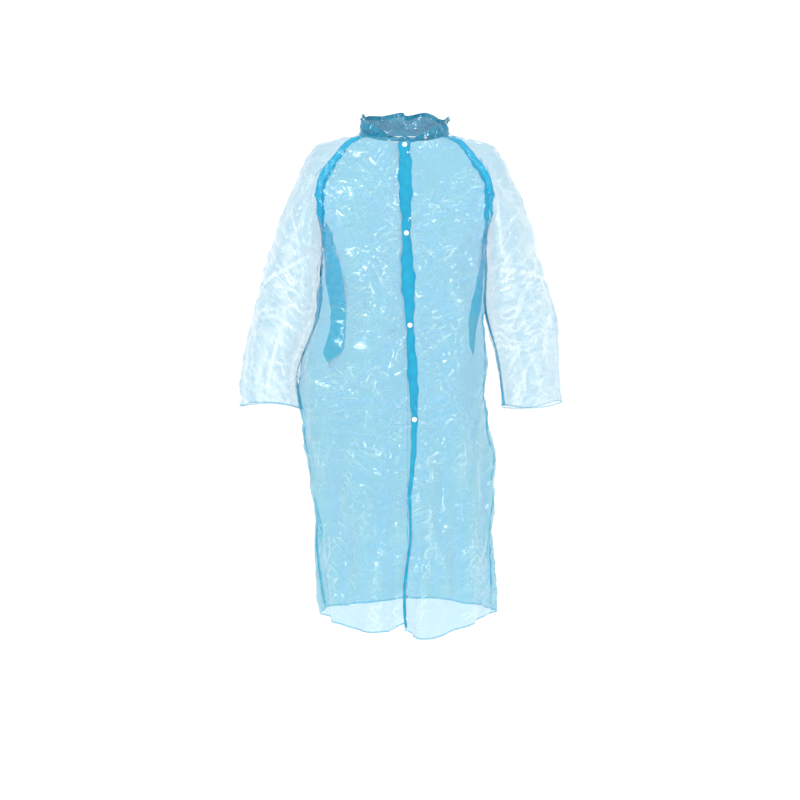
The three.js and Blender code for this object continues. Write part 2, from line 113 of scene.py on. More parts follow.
# height and half width of the pinched strip down each front edge
PLACKET = MM * np.array(
    [
        [-1120, 2.6],
        [-980, 2.8],
        [-860, 3.0],
        [-760, 5.0],
        [-647, 7.0],
        [-545, 11.5],
        [-435, 8.5],
        [-330, 15.5],
        [-227, 9.5],
        [-120, 15.0],
        [-19, 12.5],
    ]
)
SNAPS = [-0.019, -0.227, -0.435, -0.647]
UNDER_STEP = 0.00685  # the right front behind the left one, at a snap
UNDER_REST = 0.0034  # the same between two snaps
UNDER_EASE = 0.030

# Sleeve sections: outer x z, seam or inner x z, centre y, depth, sweep, bow.
PIVOT_X, PIVOT_Z, PIVOT_REACH = 0.185, -0.060, 0.079
SPLIT_SEAM, SPLIT_OUTER = math.radians(14.6), math.radians(69)
# height, how far the outer and the inner line of each sleeve stand out: left, then right
SLEEVE_HANG = MM * np.array(
    [
        [-620, -11, -8, 11, 1],
        [-545, -6, -9, 10, 17],
        [-470, -3, -12, 8, 4],
        [-400, -2, -14, 4, -6],
        [-300, -5, -4, 0, 0],
        [-227, -8, 0, 0, 0],
    ]
)

CELL = 0.82
ROWS_LOWER = int(100 / CELL)
ROWS_STATION = int(7 / CELL)
ROWS_ARM = int(15 / CELL)
COLS_FRONT = int(34 / CELL)
COLS_BAND = 3
COLS_BACK = int(70 / CELL)
COLS_SLEEVE = int(60 / CELL)
STATIONS_UP = 5  # stations of the raglan seam


# ---- Curves and surfaces ----


def lerp(a, b, t):
    return a + (b - a) * t


def ease(x, low, high):
    t = np.clip((x - low) / (high - low), 0, 1)
    return t * t * (3 - 2 * t)


def bump(x, centre, width):
    return np.exp(-(((x - centre) / width) ** 2))


def stations(table, column, z):
    """A smooth value through a table's stations, read at height z."""
    at = table[:, 0]
    value = table[:, column]
    order = np.arange(len(at))
    low = np.maximum(order - 1, 0)
    high = np.minimum(order + 1, len(at) - 1)
    slope = (value[high] - value[low]) / (at[high] - at[low])
    z = np.clip(z, at[0], at[-1])
    i = np.clip(np.searchsorted(at, z, side="right") - 1, 0, len(at) - 2)
    span = at[i + 1] - at[i]
    t = (z - at[i]) / span
    t2, t3 = t * t, t * t * t
    rise = (2 * t3 - 3 * t2 + 1) * value[i] + (t3 - 2 * t2 + t) * span * slope[i]
    return rise + (3 * t2 - 2 * t3) * value[i + 1] + (t3 - t2) * span * slope[i + 1]


def sort_up(table):
    return table[np.argsort(table[:, 0])]


def neck_point(angle):
    s, c = np.sin(angle), np.cos(angle)
    z = lerp(NECK_FRONT, NECK_BACK, (1 - c) / 2)
    return np.stack([NECK_X * s, NECK_CENTRE - NECK_Y * c, z], -1)


def sleeve_sections():
    """Columns: centre x, centre z, reach x, reach z, y, depth, sweep, bow."""

    def open_row(outer, seam, y, depth, bow=0.0):
        return [seam[0], seam[1], outer[0] - seam[0], outer[1] - seam[1], y, depth, 90, bow]

    def round_row(outer, inner, depth, sweep=180):
        centre = [(outer[0] + inner[0]) / 2, (outer[1] + inner[1]) / 2]
        reach = [(outer[0] - inner[0]) / 2, (outer[1] - inner[1]) / 2]
        return [*centre, *reach, 0, depth, sweep, 0]

    def split(angle):
        x = PIVOT_X + PIVOT_REACH * math.sin(angle)
        return x, PIVOT_Z - PIVOT_REACH * math.cos(angle)

    seam = neck_point(NECK_SEAM)
    top = neck_point(math.pi / 2)
    bow = PIVOT_REACH * (1 - math.cos((SPLIT_OUTER - SPLIT_SEAM) / 2))
    at_neck = open_row((top[0], top[2]), (seam[0], seam[2]), NECK_CENTRE, NECK_CENTRE - seam[1])
    at_split = open_row(split(SPLIT_OUTER), split(SPLIT_SEAM), 0, 0.072, bow)
    shoulder = [
        at_neck,
        open_row((0.156, -0.002), (0.142, -0.029), -0.006, 0.048),
        open_row((0.218, -0.013), (0.189, -0.080), 0, 0.066),
        at_split,
    ]
    arm = [
        at_split,
        round_row((0.287, -0.150), (0.1762, -0.1818), 0.078, 125),
        round_row((0.314, -0.227), (0.191, -0.250), 0.080),
        round_row((0.346, -0.345), (0.203, -0.382), 0.078),
        round_row((0.365, -0.470), (0.229, -0.502), 0.070),
        round_row((0.377, -0.608), (0.241, -0.620), 0.062),
    ]
    return np.array(shoulder), np.array(arm)


SHOULDER, ARM = sleeve_sections()


def section(rows, t):
    """A smooth blend of a list of sections at position t."""
    last = len(rows) - 1
    i = np.clip(np.floor(t).astype(int), 0, last - 1)
    f = (t - i)[..., None]
    before, here = rows[np.maximum(i - 1, 0)], rows[i]
    there, after = rows[i + 1], rows[np.minimum(i + 2, last)]
    m0 = np.where((i == 0)[..., None], there - here, (there - before) / 2)
    m1 = np.where((i == last - 1)[..., None], there - here, (after - here) / 2)
    a = 2 * here - 2 * there + m0 + m1
    b = 3 * there - 3 * here - 2 * m0 - m1
    mixed = ((a * f + b) * f + m0) * f + here
    mixed[..., 6] = np.minimum(180, lerp(here[..., 6], there[..., 6], f[..., 0]))
    return mixed


def section_point(s, angle):
    """The point at angle round a section, in degrees, negative towards the front."""
    c = np.cos(np.radians(angle))
    reach = np.hypot(s[..., 2], s[..., 3])
    bow = 4 * s[..., 7] * c * (1 - c) / reach
    x = s[..., 0] + s[..., 2] * c + s[..., 3] * bow
    y = s[..., 4] + s[..., 5] * np.sin(np.radians(angle))
    z = s[..., 1] + s[..., 3] * c - s[..., 2] * bow
    return np.stack([x, y, z], -1)


def sleeve_at(path):
    """Sections along a sleeve: path from 0 at the neck to 8 at the cuff."""
    path = np.asarray(path, float)
    upper = section(SHOULDER, np.clip(path, 0, 3))
    lower = section(ARM, np.clip(path - 3, 0, 5))
    return np.where((path < 3)[..., None], upper, lower)


def seam_point(h, side):
    """The raglan seam, h from 0 at the armpit to 1 at the neck; side -1 front, +1 back."""
    s = sleeve_at(STATIONS_UP * (1 - h))
    return section_point(s, side * s[..., 6])


def signed_power(value, power):
    return np.sign(value) * np.abs(value) ** power


def body_point(v, k, side, hand):
    """The body at row v (0 hem, 0.5 armpit, 1 neck) and k (0 middle, 1 side seam)."""
    v = np.asarray(v, float)
    column = 2 if side < 0 else 3
    z = lerp(HEM, ARMPIT, np.clip(v / 0.5, 0, 1))
    drop = FRONT_DROP * (1 - ease(v / 0.5, 0, 1)) if side < 0 else 0
    h = np.clip((v - 0.5) / 0.5, 0, 1)
    upper = v > 0.5
    seam = seam_point(h, side)
    zero = np.zeros_like(v)
    edge = np.where(
        upper[..., None],
        seam,
        np.stack([stations(BODY, 1, z), zero, z], -1),
    )
    top = neck_point(0.0 if side < 0 else math.pi)
    start = side * BODY[-1, column]
    middle_y = np.where(upper, lerp(start, top[1], h * h), side * stations(BODY, column, z))
    middle_z = np.where(upper, lerp(ARMPIT, top[2], h), z - drop)
    last = NECK_SEAM if side < 0 else math.pi - NECK_SEAM
    bulge = np.radians(8) * (np.sin(h * math.pi / 2) - h)
    turn = np.where(upper, lerp(math.pi / 2, last, h * h) - bulge, math.pi / 2)
    square = np.where(upper, lerp(SQUARENESS, 1, h), SQUARENESS)
    angle = np.minimum(np.abs(k), 1) * turn
    out = (np.sin(angle) / np.sin(turn)) ** square
    fall = 1 - signed_power(np.cos(angle), square)
    whole = 1 - signed_power(np.cos(turn), square)
    share = fall / whole
    place_z = lerp(middle_z, edge[..., 2], share)
    lean = stations(LEAN, 1, place_z) if side < 0 else 0
    x = lean + np.sign(k) * (hand * edge[..., 0] - lean) * out
    y = lerp(middle_y, edge[..., 1], share)
    return np.stack([x, y, place_z], -1)


def k_at_x(v, x_of, side, hand):
    """The k at which each row passes x_of(z), by bisection."""
    low = np.full(v.shape, -0.4)
    high = np.ones(v.shape)
    for _ in range(26):
        middle = (low + high) / 2
        p = body_point(v, middle, side, hand)
        short = hand * p[..., 0] < hand * x_of(p[..., 2])
        low = np.where(short, middle, low)
        high = np.where(short, high, middle)
    return (low + high) / 2


def raised(p):
    """The film stands up a little where it runs from the neck over the shoulders."""
    p = p.copy()
    over = bump(np.abs(p[..., 0]), 0.128, 0.052) * ease(p[..., 2], -0.085, 0.005)
    p[..., 2] += 0.015 * over
    return p


def neck_edge(angle):
    """The sheets' own neck edge, which runs lower over the back raglan seams."""
    p = neck_point(angle)
    seam, top, back = neck_point(NECK_SEAM), neck_point(math.pi / 2), neck_point(math.pi)
    over = np.clip((p[..., 0] - seam[0]) / (top[0] - seam[0]), 0, 1)
    share = np.clip((1 + np.cos(angle)) / (1 - math.cos(NECK_SEAM)), 0, 1)
    on_sleeve = seam[2] + (top[2] - seam[2]) * over
    on_back = back[2] + (seam[2] - back[2]) * share
    behind = np.where(angle <= math.pi - NECK_SEAM, on_sleeve, on_back)
    p[..., 2] = np.where(angle <= NECK_SEAM, p[..., 2], behind)
    return raised(p)


# ---- Sheets as grids of points ----


def grid_normals(grid):
    """Unit normals of a grid of points, rows by columns."""
    along = np.gradient(grid, axis=0)
    across = np.gradient(grid, axis=1)
    normal = np.cross(across, along)
    return normal / np.maximum(np.linalg.norm(normal, axis=-1, keepdims=True), 1e-9)


def finer(grid):
    """The grid with a new row and column between every two, on a smooth curve."""
    for _ in range(2):
        padded = np.concatenate([2 * grid[:1] - grid[1:2], grid, 2 * grid[-1:] - grid[-2:-1]])
        middle = (9 * (padded[1:-2] + padded[2:-1]) - padded[:-3] - padded[3:]) / 16
        out = np.empty((2 * len(grid) - 1, *grid.shape[1:]))
        out[0::2] = grid
        out[1::2] = middle
        grid = out.swapaxes(0, 1)
    return grid


def noise_at(points, size, seed):
    """Soft noise from -1 to 1 over points, with features of that size."""
    flat = points.reshape(-1, 3) / size + seed
    values = [noise.noise(p) for p in flat]
    return np.array(values).reshape(points.shape[:-1])


def drawn_out(flat, slope):
    """Points turned and squeezed so that what is laid over them runs long along a slope."""
    c, s = math.cos(slope), math.sin(slope)
    along = c * flat[:, 0] + s * flat[:, 2]
    across = c * flat[:, 2] - s * flat[:, 0]
    return np.stack([0.48 * along, 0.8 * flat[:, 1], 1.2 * across], -1)


def creases_at(points, size, seed, slope):
    """Crumpled facets from 0 in the creases to 1, with cells of that size."""
    flat = points.reshape(-1, 3)
    shift = np.array([noise.noise_vector(p) for p in flat / (1.7 * size) + seed])
    flat = drawn_out(flat + 0.22 * size * shift, slope) / size + seed
    values = []
    for p in flat:
        near = noise.voronoi(p)[0]
        values.append(near[1] ** 2 - near[0] ** 2)
    return np.array(values).reshape(points.shape[:-1])


def crests_at(points, size, seed, slope):
    """Long sharp crest lines, 1 on the crest and 0 between, that wander over the film."""
    flat = points.reshape(-1, 3)
    shift = np.array([noise.noise_vector(p) for p in flat / (2.3 * size) + seed + 5])
    flat = drawn_out(flat + 0.4 * size * shift, slope) / size + seed
    values = np.array([noise.noise(p) for p in flat])
    return (1 - np.minimum(1, 2.6 * np.abs(values))).reshape(points.shape[:-1])


def crease_line(points, a, b, width):
    """1 along the line from a to b in x and z, falling off sharply beside it."""
    a, b = np.array(a), np.array(b)
    p = points[..., [0, 2]]
    d = b - a
    t = np.clip(((p - a) @ d) / (d @ d), 0, 1)
    gap = np.linalg.norm(p - (a + t[..., None] * d), axis=-1)
    return np.exp(-gap / width) * np.clip(4 * t * (1 - t) + 0.25, 0, 1)


def grid_mesh(name, grid, close_columns=False, tone=None):
    """One mesh from a grid of points, with a UV map in metres along the film."""
    rows, columns = grid.shape[:2]
    mesh = bpy.data.meshes.new(name)
    index = np.arange(rows * columns).reshape(rows, columns)
    quads = np.stack([index[:-1, :-1], index[:-1, 1:], index[1:, 1:], index[1:, :-1]], -1)
    faces = quads.reshape(-1, 4).tolist()
    if close_columns:
        ends = np.stack([index[:-1, -1], index[:-1, 0], index[1:, 0], index[1:, -1]], -1)
        faces += ends.tolist()
    mesh.from_pydata(grid.reshape(-1, 3).tolist(), [], faces)
    across = np.linalg.norm(np.diff(grid, axis=1), axis=-1).mean(0)
    along = np.linalg.norm(np.diff(grid, axis=0), axis=-1).mean(1)
    u = np.concatenate([[0], np.cumsum(across)])
    t = np.concatenate([[0], np.cumsum(along)])
    uv = np.stack(np.broadcast_arrays(u[None, :], t[:, None]), -1).reshape(-1, 2)
    layer = mesh.uv_layers.new(name="along_film")
    corner = np.empty(len(mesh.loops), int)
    mesh.loops.foreach_get("vertex_index", corner)
    layer.data.foreach_set("uv", uv[corner].astype(np.float32).ravel())
    if tone is not None:
        shade = mesh.attributes.new("tone", "FLOAT", "POINT")
        shade.data.foreach_set("value", np.ravel(tone).astype(np.float32))
    piece = bpy.data.objects.new(name, mesh)
    bpy.context.scene.collection.objects.link(piece)
    return piece


def edge_strip(grid, normals, right, width, columns=4, start=0.0):
    """Points and normals beside a grid's first or last column, over a width along the film."""
    if right:
        grid, normals = grid[:, ::-1], normals[:, ::-1]
    arc = arc_of(grid)
    width = np.broadcast_to(width, (len(grid),))
    points = np.empty((len(grid), columns + 1, 3))
    facing = np.empty_like(points)
    for i in range(len(grid)):
        at = start + np.linspace(0, width[i], columns + 1)
        for axis in range(3):
            points[i, :, axis] = np.interp(at, arc[i], grid[i, :, axis])
            facing[i, :, axis] = np.interp(at, arc[i], normals[i, :, axis])
    facing /= np.linalg.norm(facing, axis=-1, keepdims=True)
    return points, facing


def arc_of(grid):
    """The distance along each row from its first column."""
    steps = np.linalg.norm(np.diff(grid, axis=1), axis=-1)
    return np.concatenate([np.zeros((len(grid), 1)), np.cumsum(steps, 1)], 1)


def smooth_faces(piece, angle=math.radians(50)):
    mesh = piece.data
    mesh.polygons.foreach_set("use_smooth", [True] * len(mesh.polygons))
    bpy.ops.object.select_all(action="DESELECT")
    piece.select_set(True)
    bpy.context.view_layer.objects.active = piece
    bpy.ops.object.shade_smooth_by_angle(angle=angle)
    piece.select_set(False)


def band(name, grid, normals, base, thick):
    """A closed flat band over a grid: its outer face at base + thick, its inner at base."""
    outer = grid + normals * (base + thick)
    inner = grid + normals * base
    ring = np.concatenate([outer, inner[:, ::-1]], axis=1)
    across = np.abs(np.linspace(-1, 1, grid.shape[1]))[None, :] ** 3
    tone = 0.35 + 0.55 * across + 0.5 * noise_at(grid, 0.016, 51.0)
    tone = np.clip(np.concatenate([tone, tone[:, ::-1]], axis=1), 0, 1)
    piece = grid_mesh(name, ring, close_columns=True, tone=tone)
    shape = bmesh.new()
    shape.from_mesh(piece.data)
    edges = [e for e in shape.edges if e.is_boundary]
    bmesh.ops.holes_fill(shape, edges=edges)
    bmesh.ops.triangulate(shape, faces=[f for f in shape.faces if len(f.verts) > 4])
    bmesh.ops.recalc_face_normals(shape, faces=shape.faces)
    shape.to_mesh(piece.data)
    shape.free()
    return piece


# ---- Folds of the body ----


def side_hang(p, hand, half):
    """The body's points moved to where the side seams really hang."""
    column = 1 if hand > 0 else 2
    z = p[..., 2]
    out = stations(SIDE_HANG, column, z) + 0.0018 * np.sin(z * 41 + 3 * np.sin(9 * z) + hand) * ease(-z, 0.25, 0.5)
    share = np.clip(np.abs(p[..., 0]) / half, 0, 1.1) ** 2
    z = p[..., 2]
    p = p.copy()
    p[..., 0] += hand * out * share
    p[..., 1] += 0.006 * np.sin(z * 23 + 2 * hand) * share * ease(-z, 0.28, 0.6)
    return p


def snap_place(z):
    """The middle of the left front at a snap's height, and its outward direction."""
    v = np.linspace(0.3, 0.985, 900)
    p = body_point(v, np.zeros_like(v), -1, 1)
    i = int(np.argmin(np.abs(p[:, 2] - z)))
    step = 1e-3
    across = body_point(v[i : i + 1], np.full(1, step), -1, 1)
    across = across - body_point(v[i : i + 1], np.full(1, -step), -1, 1)
    along = body_point(v[i : i + 1] + step, np.zeros(1), -1, 1)
    along = along - body_point(v[i : i + 1] - step, np.zeros(1), -1, 1)
    normal = np.cross(across, along)[0]
    return p[i], normal / np.linalg.norm(normal)


def pull_wrinkles(p):
    """Wrinkles that run out from each snap, where the film is pulled."""
    total = np.zeros(p.shape[:-1])
    for i, z in enumerate(SNAPS):
        centre = snap_place(z)[0]
        dx = p[..., 0] - centre[0]
        dz = (p[..., 2] - z) * 1.25
        r = np.hypot(dx, dz)
        angle = np.arctan2(dz, dx)
        fan = np.sin((9 + i) * angle + 1.7 * i) + 0.6 * np.sin((15 + i) * angle + i)
        reach = (r / 0.026) * np.exp(1 - r / 0.026)
        total += 0.0021 * fan * np.clip(reach, 0, 1)
    return total


# ends in x and z of single creases in the fronts, and their depth
FRONT_CREASES = [
    ((-0.105, -0.125), (0.000, -0.215), 0.0026),
    ((-0.060, -0.060), (-0.008, -0.030), 0.0022),
    ((-0.120, -0.050), (-0.010, -0.036), 0.0020),
    ((0.105, -0.090), (0.030, -0.190), 0.0024),
    ((0.120, -0.160), (0.018, -0.222), 0.0022),
    ((0.095, -0.045), (0.012, -0.026), 0.0018),
    ((-0.140, -0.220), (-0.020, -0.300), 0.0018),
    ((-0.095, -0.290), (-0.010, -0.420), 0.0026),
    ((-0.070, -0.330), (-0.040, -0.400), 0.0024),
    ((0.120, -0.330), (0.025, -0.425), 0.0022),
    ((0.150, -0.400), (0.030, -0.440), 0.0020),
    ((-0.130, -0.470), (0.000, -0.440), 0.0022),
    ((-0.110, -0.560), (0.000, -0.450), 0.0020),
    ((0.100, -0.540), (0.026, -0.450), 0.0020),
    ((0.140, -0.610), (0.035, -0.650), 0.0020),
    ((-0.120, -0.700), (0.010, -0.655), 0.0020),
    ((0.060, -0.840), (0.026, -0.665), 0.0024),
    ((-0.050, -0.900), (0.010, -0.668), 0.0024),
    ((-0.160, -0.603), (-0.020, -0.606), 0.0012),
    ((0.050, -0.600), (0.170, -0.606), 0.0012),
    ((-0.180, -1.030), (-0.030, -1.062), 0.0016),
    ((0.040, -1.066), (0.190, -1.020), 0.0016),
]
BACK_CREASES = [
    ((-0.130, -0.060), (0.020, -0.180), 0.0024),
    ((0.140, -0.070), (0.010, -0.240), 0.0024),
    ((-0.150, -0.300), (0.040, -0.360), 0.0020),
    ((0.160, -0.420), (-0.020, -0.500), 0.0020),
    ((-0.170, -0.603), (0.170, -0.603), 0.0014),
    ((0.000, -0.120), (0.000, -1.050), 0.0014),
    ((-0.100, -0.700), (-0.050, -1.000), 0.0024),
    ((0.110, -0.680), (0.070, -1.020), 0.0024),
    ((-0.180, -0.850), (0.180, -0.850), 0.0012),
    ((-0.150, -1.000), (0.060, -1.050), 0.0016),
]


def body_folds(p, arc, side, hand):
    """How far the film stands out: hanging folds, packing creases and single creases."""
    z = p[..., 2]
    low = ease(-z, 0.30, 1.02)
    seed = 3.1 * side + 1.7 * hand
    wander = 0.22 * np.sin(5.3 * z + seed) + 0.10 * np.sin(13 * z + 2 * seed)
    folds = 0.0072 * np.sin(2 * math.pi * (arc / 0.104 + wander) + seed)
    folds += 0.0042 * np.sin(2 * math.pi * (arc / 0.061 - 1.4 * wander) + 2.1 * seed)
    total = low * folds
    chest = ease(-z, 0.03, 0.20) * (1 - low)
    total += chest * 0.0042 * np.sin(2 * math.pi * (arc / 0.135 + 1.1 * z + wander) + seed)
    for ends in FRONT_CREASES if side < 0 else BACK_CREASES:
        total -= 1.9 * ends[2] * crease_line(p, ends[0], ends[1], 0.0065)
    for height in (-0.345, -0.603, -0.860):
        fold = np.abs(z - height - 0.004 * np.sin(30 * arc + seed))
        total += 0.0007 * np.exp(-fold / 0.005)
    return total


# each front's tuck: k at its top and at its bottom, half width and depth in k, top and bottom height
TUCKS = {
    -1: (0.70, 0.53, 0.285, 0.245, -0.130, -0.512),
    1: (0.74, 0.64, 0.210, 0.165, -0.235, -0.490),
}


def tuck(k, v, hand):
    """The film folded back on itself in a standing tuck beside the chest."""
    upper, lower, half, depth, top, bottom = TUCKS[hand]
    z = lerp(HEM, ARMPIT, v / 0.5)
    centre = lerp(lower, upper, ease(z, bottom, top)) + 0.015 * np.sin(17 * z + hand)
    amount = ease(z, bottom - 0.030, bottom + 0.030) * (1 - ease(z, top - 0.05, top + 0.07))
    amount *= 0.95 + 0.05 * np.sin(31 * z + hand)
    inside = np.clip((k - centre) / half, -1, 1)
    shift = -depth * amount * np.sin(math.pi * inside)
    lift = 0.0034 * amount * np.sin(math.pi * inside / 1.15)
    doubled = amount * (np.abs(inside) < 0.98) * (1 - np.abs(inside) ** 4)
    return k + shift, lift, doubled


# ---- Panels ----


def body_rows():
    lower = np.linspace(0, 0.5, ROWS_LOWER + 1)[:-1]
    upper = np.linspace(0.5, 1, STATIONS_UP * ROWS_STATION + 1)
    return np.concatenate([lower, upper])


def fades(shape, left, right, top, reach):
    """1 inside a grid, falling to 0 at the edges that are welded to another piece."""
    rows, columns = shape
    column = np.arange(columns)[None, :] + np.zeros((rows, 1))
    row = np.arange(rows)[:, None] + np.zeros((1, columns))
    fade = np.ones(shape)
    if left:
        fade *= ease(column, 0, reach)
    if right:
        fade *= ease(columns - 1 - column, 0, reach)
    if top:
        fade *= ease(rows - 1 - row, 0, reach)
    return fade


def front_panel(hand):
    """A front's grid, from its free edge to the side seam and the raglan seam."""
    v = body_rows()

    def edge_at(side_sign):
        def edge(z):
            half = stations(PLACKET, 1, z)
            ripple = 0.10 * half * np.sin(97 * z + 2 * side_sign) + 0.07 * half * np.sin(171 * z)
            return stations(LEAN, 1, z) + side_sign * (half + ripple)

        return edge

    lip = k_at_x(v, edge_at(-hand), -1, hand)
    inner = k_at_x(v, edge_at(hand), -1, hand)
    across = np.linspace(0, 1, COLS_BAND + 1)[None, :]
    first = lip[:, None] + (inner - lip)[:, None] * across
    rest = np.linspace(0, 1, COLS_FRONT + 1)[None, 1:]
    second = inner[:, None] + (1 - inner)[:, None] * rest
    k = np.concatenate([first, second], 1)
    rows = v[:, None] + np.zeros_like(k)
    smooth_grid = body_point(rows, k, -1, hand)
    k, lift, doubled = tuck(k, rows, hand)
    grid = body_point(rows, np.minimum(k, 1), -1, hand)
    grid = side_hang(grid, hand, np.abs(grid[:, -1:, 0]))
    x, z = grid[..., 0], grid[..., 2]
    centre, width, depth = HEM_DIPS[hand]
    near_hem = 1 - ease(rows, 0, 0.16)
    grid[..., 2] -= depth * bump(x, centre, width) * near_hem
    from_lip = arc_of(smooth_grid)
    if hand > 0:
        grid[..., 2] -= LEFT_DROP * near_hem * (1 - ease(from_lip, 0.05, 0.20))
    turn = hand
    normals = turn * grid_normals(side_hang(smooth_grid, hand, np.abs(smooth_grid[:, -1:, 0])))
    fade = fades(k.shape, False, True, True, 4)
    off_band = ease(from_lip, 0.014, 0.05)
    out = body_folds(grid, from_lip, -1, hand) * fade * off_band
    out += pull_wrinkles(grid) * fade * ease(from_lip, 0.004, 0.022)
    out += lift
    loose = ease(-z, 0.70, 0.85)
    out += loose * (1 - off_band) * 0.004 * np.sin(z * 38 + 2 * hand)
    if hand < 0:
        at_snap = sum(bump(z, s, 0.034) for s in SNAPS)
        step = UNDER_REST + (UNDER_STEP - UNDER_REST) * np.clip(at_snap, 0, 1)
        beside = 2 * stations(PLACKET, 1, z)
        out -= step * (1 - ease(from_lip, beside, beside + UNDER_EASE))
    grid = grid + normals * out[..., None]
    grid[..., 0] += (1 - off_band) * loose * 0.0035 * np.sin(z * 27 + 1.0)
    corner = (1 - ease(from_lip, 0.0, 0.055)) * (1 - ease(rows, 0, 0.035))
    grid += normals * (0.014 * corner * corner)[..., None]
    grid[..., 2] += 0.012 * corner * corner
    pinned = np.zeros(k.shape)
    pinned[:, : COLS_BAND + 1] = 1
    pinned[:, -1] = 1
    pinned[-1, :] = 1
    return raised(grid), pinned, turn, doubled


def back_panel():
    v = body_rows()
    k = np.linspace(-1, 1, COLS_BACK + 1)[None, :] + np.zeros((len(v), 1))
    rows = v[:, None] + np.zeros_like(k)
    half = COLS_BACK // 2
    halves = []
    for hand, part in ((-1, slice(0, half)), (1, slice(half, None))):
        p = body_point(rows[:, part], np.abs(k[:, part]), 1, hand)
        edge = np.abs(body_point(v, np.ones_like(v), 1, hand)[:, None, 0])
        halves.append(side_hang(p, hand, edge))
    grid = np.concatenate(halves, 1)
    turn = -1
    normals = turn * grid_normals(grid)
    fade = fades(k.shape, True, True, True, 4)
    out = body_folds(grid, arc_of(grid), 1, 1) * fade
    grid = grid + normals * out[..., None]
    near_hem = (1 - ease(rows, 0, 0.12)) * fade
    grid[..., 2] += 0.006 * np.sin(grid[..., 0] * 19 + 0.8) * near_hem
    pinned = np.zeros(k.shape)
    pinned[:, [0, -1]] = 1
    pinned[-1, :] = 1
    return raised(grid), pinned, turn, np.zeros(k.shape)


# path and angle ends of single creases in a sleeve, and their depth
SLEEVE_CREASES = [
    ((5.3, -150), (5.9, -10), 0.0045),
    ((5.9, -10), (5.5, 60), 0.0040),
    ((6.1, -170), (6.3, -40), 0.0030),
    ((6.3, -30), (7.2, -60), 0.0030),
    ((5.0, -40), (6.6, -25), 0.0026),
    ((4.1, -60), (5.2, -120), 0.0030),
    ((4.0, 40), (5.4, 120), 0.0028),
    ((5.6, 130), (6.4, 20), 0.0032),
    ((6.6, 90), (7.8, 60), 0.0028),
    ((6.5, -110), (7.9, -100), 0.0028),
    ((3.2, -10), (4.6, 12), 0.0024),
    ((2.0, -60), (3.6, -95), 0.0024),
    ((2.2, 65), (3.6, 90), 0.0024),
]


def sleeve_panel(hand):
    upper = np.linspace(0, STATIONS_UP, STATIONS_UP * ROWS_STATION + 1)
    lower = np.linspace(STATIONS_UP, 8, 3 * ROWS_ARM + 1)[1:]
    path = np.concatenate([upper, lower])
    s = sleeve_at(path)[:, None, :]
    share = np.linspace(-1, 1, COLS_SLEEVE + 1)[None, :]
    angle = share * s[..., 6]
    grid = section_point(s, angle)
    normals = -grid_normals(grid)
    z = grid[..., 2]
    outer = (1 + np.cos(np.radians(angle))) / 2
    column = 1 if hand > 0 else 3
    hang = lerp(stations(SLEEVE_HANG, column + 1, z), stations(SLEEVE_HANG, column, z), outer)
    grid[..., 0] += hang * ease(-z, 0.20, 0.26)
    fade = fades(grid.shape[:2], True, True, False, 4) * ease(path, 0, 0.5)[:, None]
    seed = 2.3 * hand
    low = ease(path, 3.0, 7.5)[:, None]
    turn = np.radians(angle)
    uneven = 0.6 + 0.9 * noise_at(grid, 0.12, 61.0 + hand)
    drift = 1.1 * np.sin(0.9 * path[:, None] + 2 * turn + seed)
    wave = 0.0075 * np.sin(4 * turn + drift + seed)
    wave += 0.0040 * np.sin(7 * turn - 1.3 * drift + 2 * seed)
    out = low * wave * uneven
    bunch = bump(path, 4.9, 1.0)[:, None] * (1 - 0.75 * outer)
    out += 0.0032 * bunch * np.sin(6.5 * path[:, None] + 1.3 * turn + seed)
    place = np.stack([path[:, None] + 0 * angle, 0 * angle, angle / 75], -1)
    for (path_a, angle_a), (path_b, angle_b), depth in SLEEVE_CREASES:
        sweep = 1 if hand > 0 else 0.86
        a = (path_a + 0.1 * hand, sweep * angle_a / 75)
        b = (path_b - 0.1 * hand, sweep * angle_b / 75)
        out -= 1.8 * depth * crease_line(place, a, b, 0.060)
    grid = grid + normals * (out * fade)[..., None]
    near_cuff = ease(path, 7.0, 8.0)[:, None]
    grid[..., 2] += near_cuff * 0.006 * np.sin(2 * turn + 1.1 * hand)
    grid[..., 0] *= hand
    pinned = np.zeros(grid.shape[:2])
    pinned[:, [0, -1]] = 1
    pinned[0, :] = 1
    return raised(grid), pinned, hand, np.zeros(grid.shape[:2])


# ---- Settling the film ----


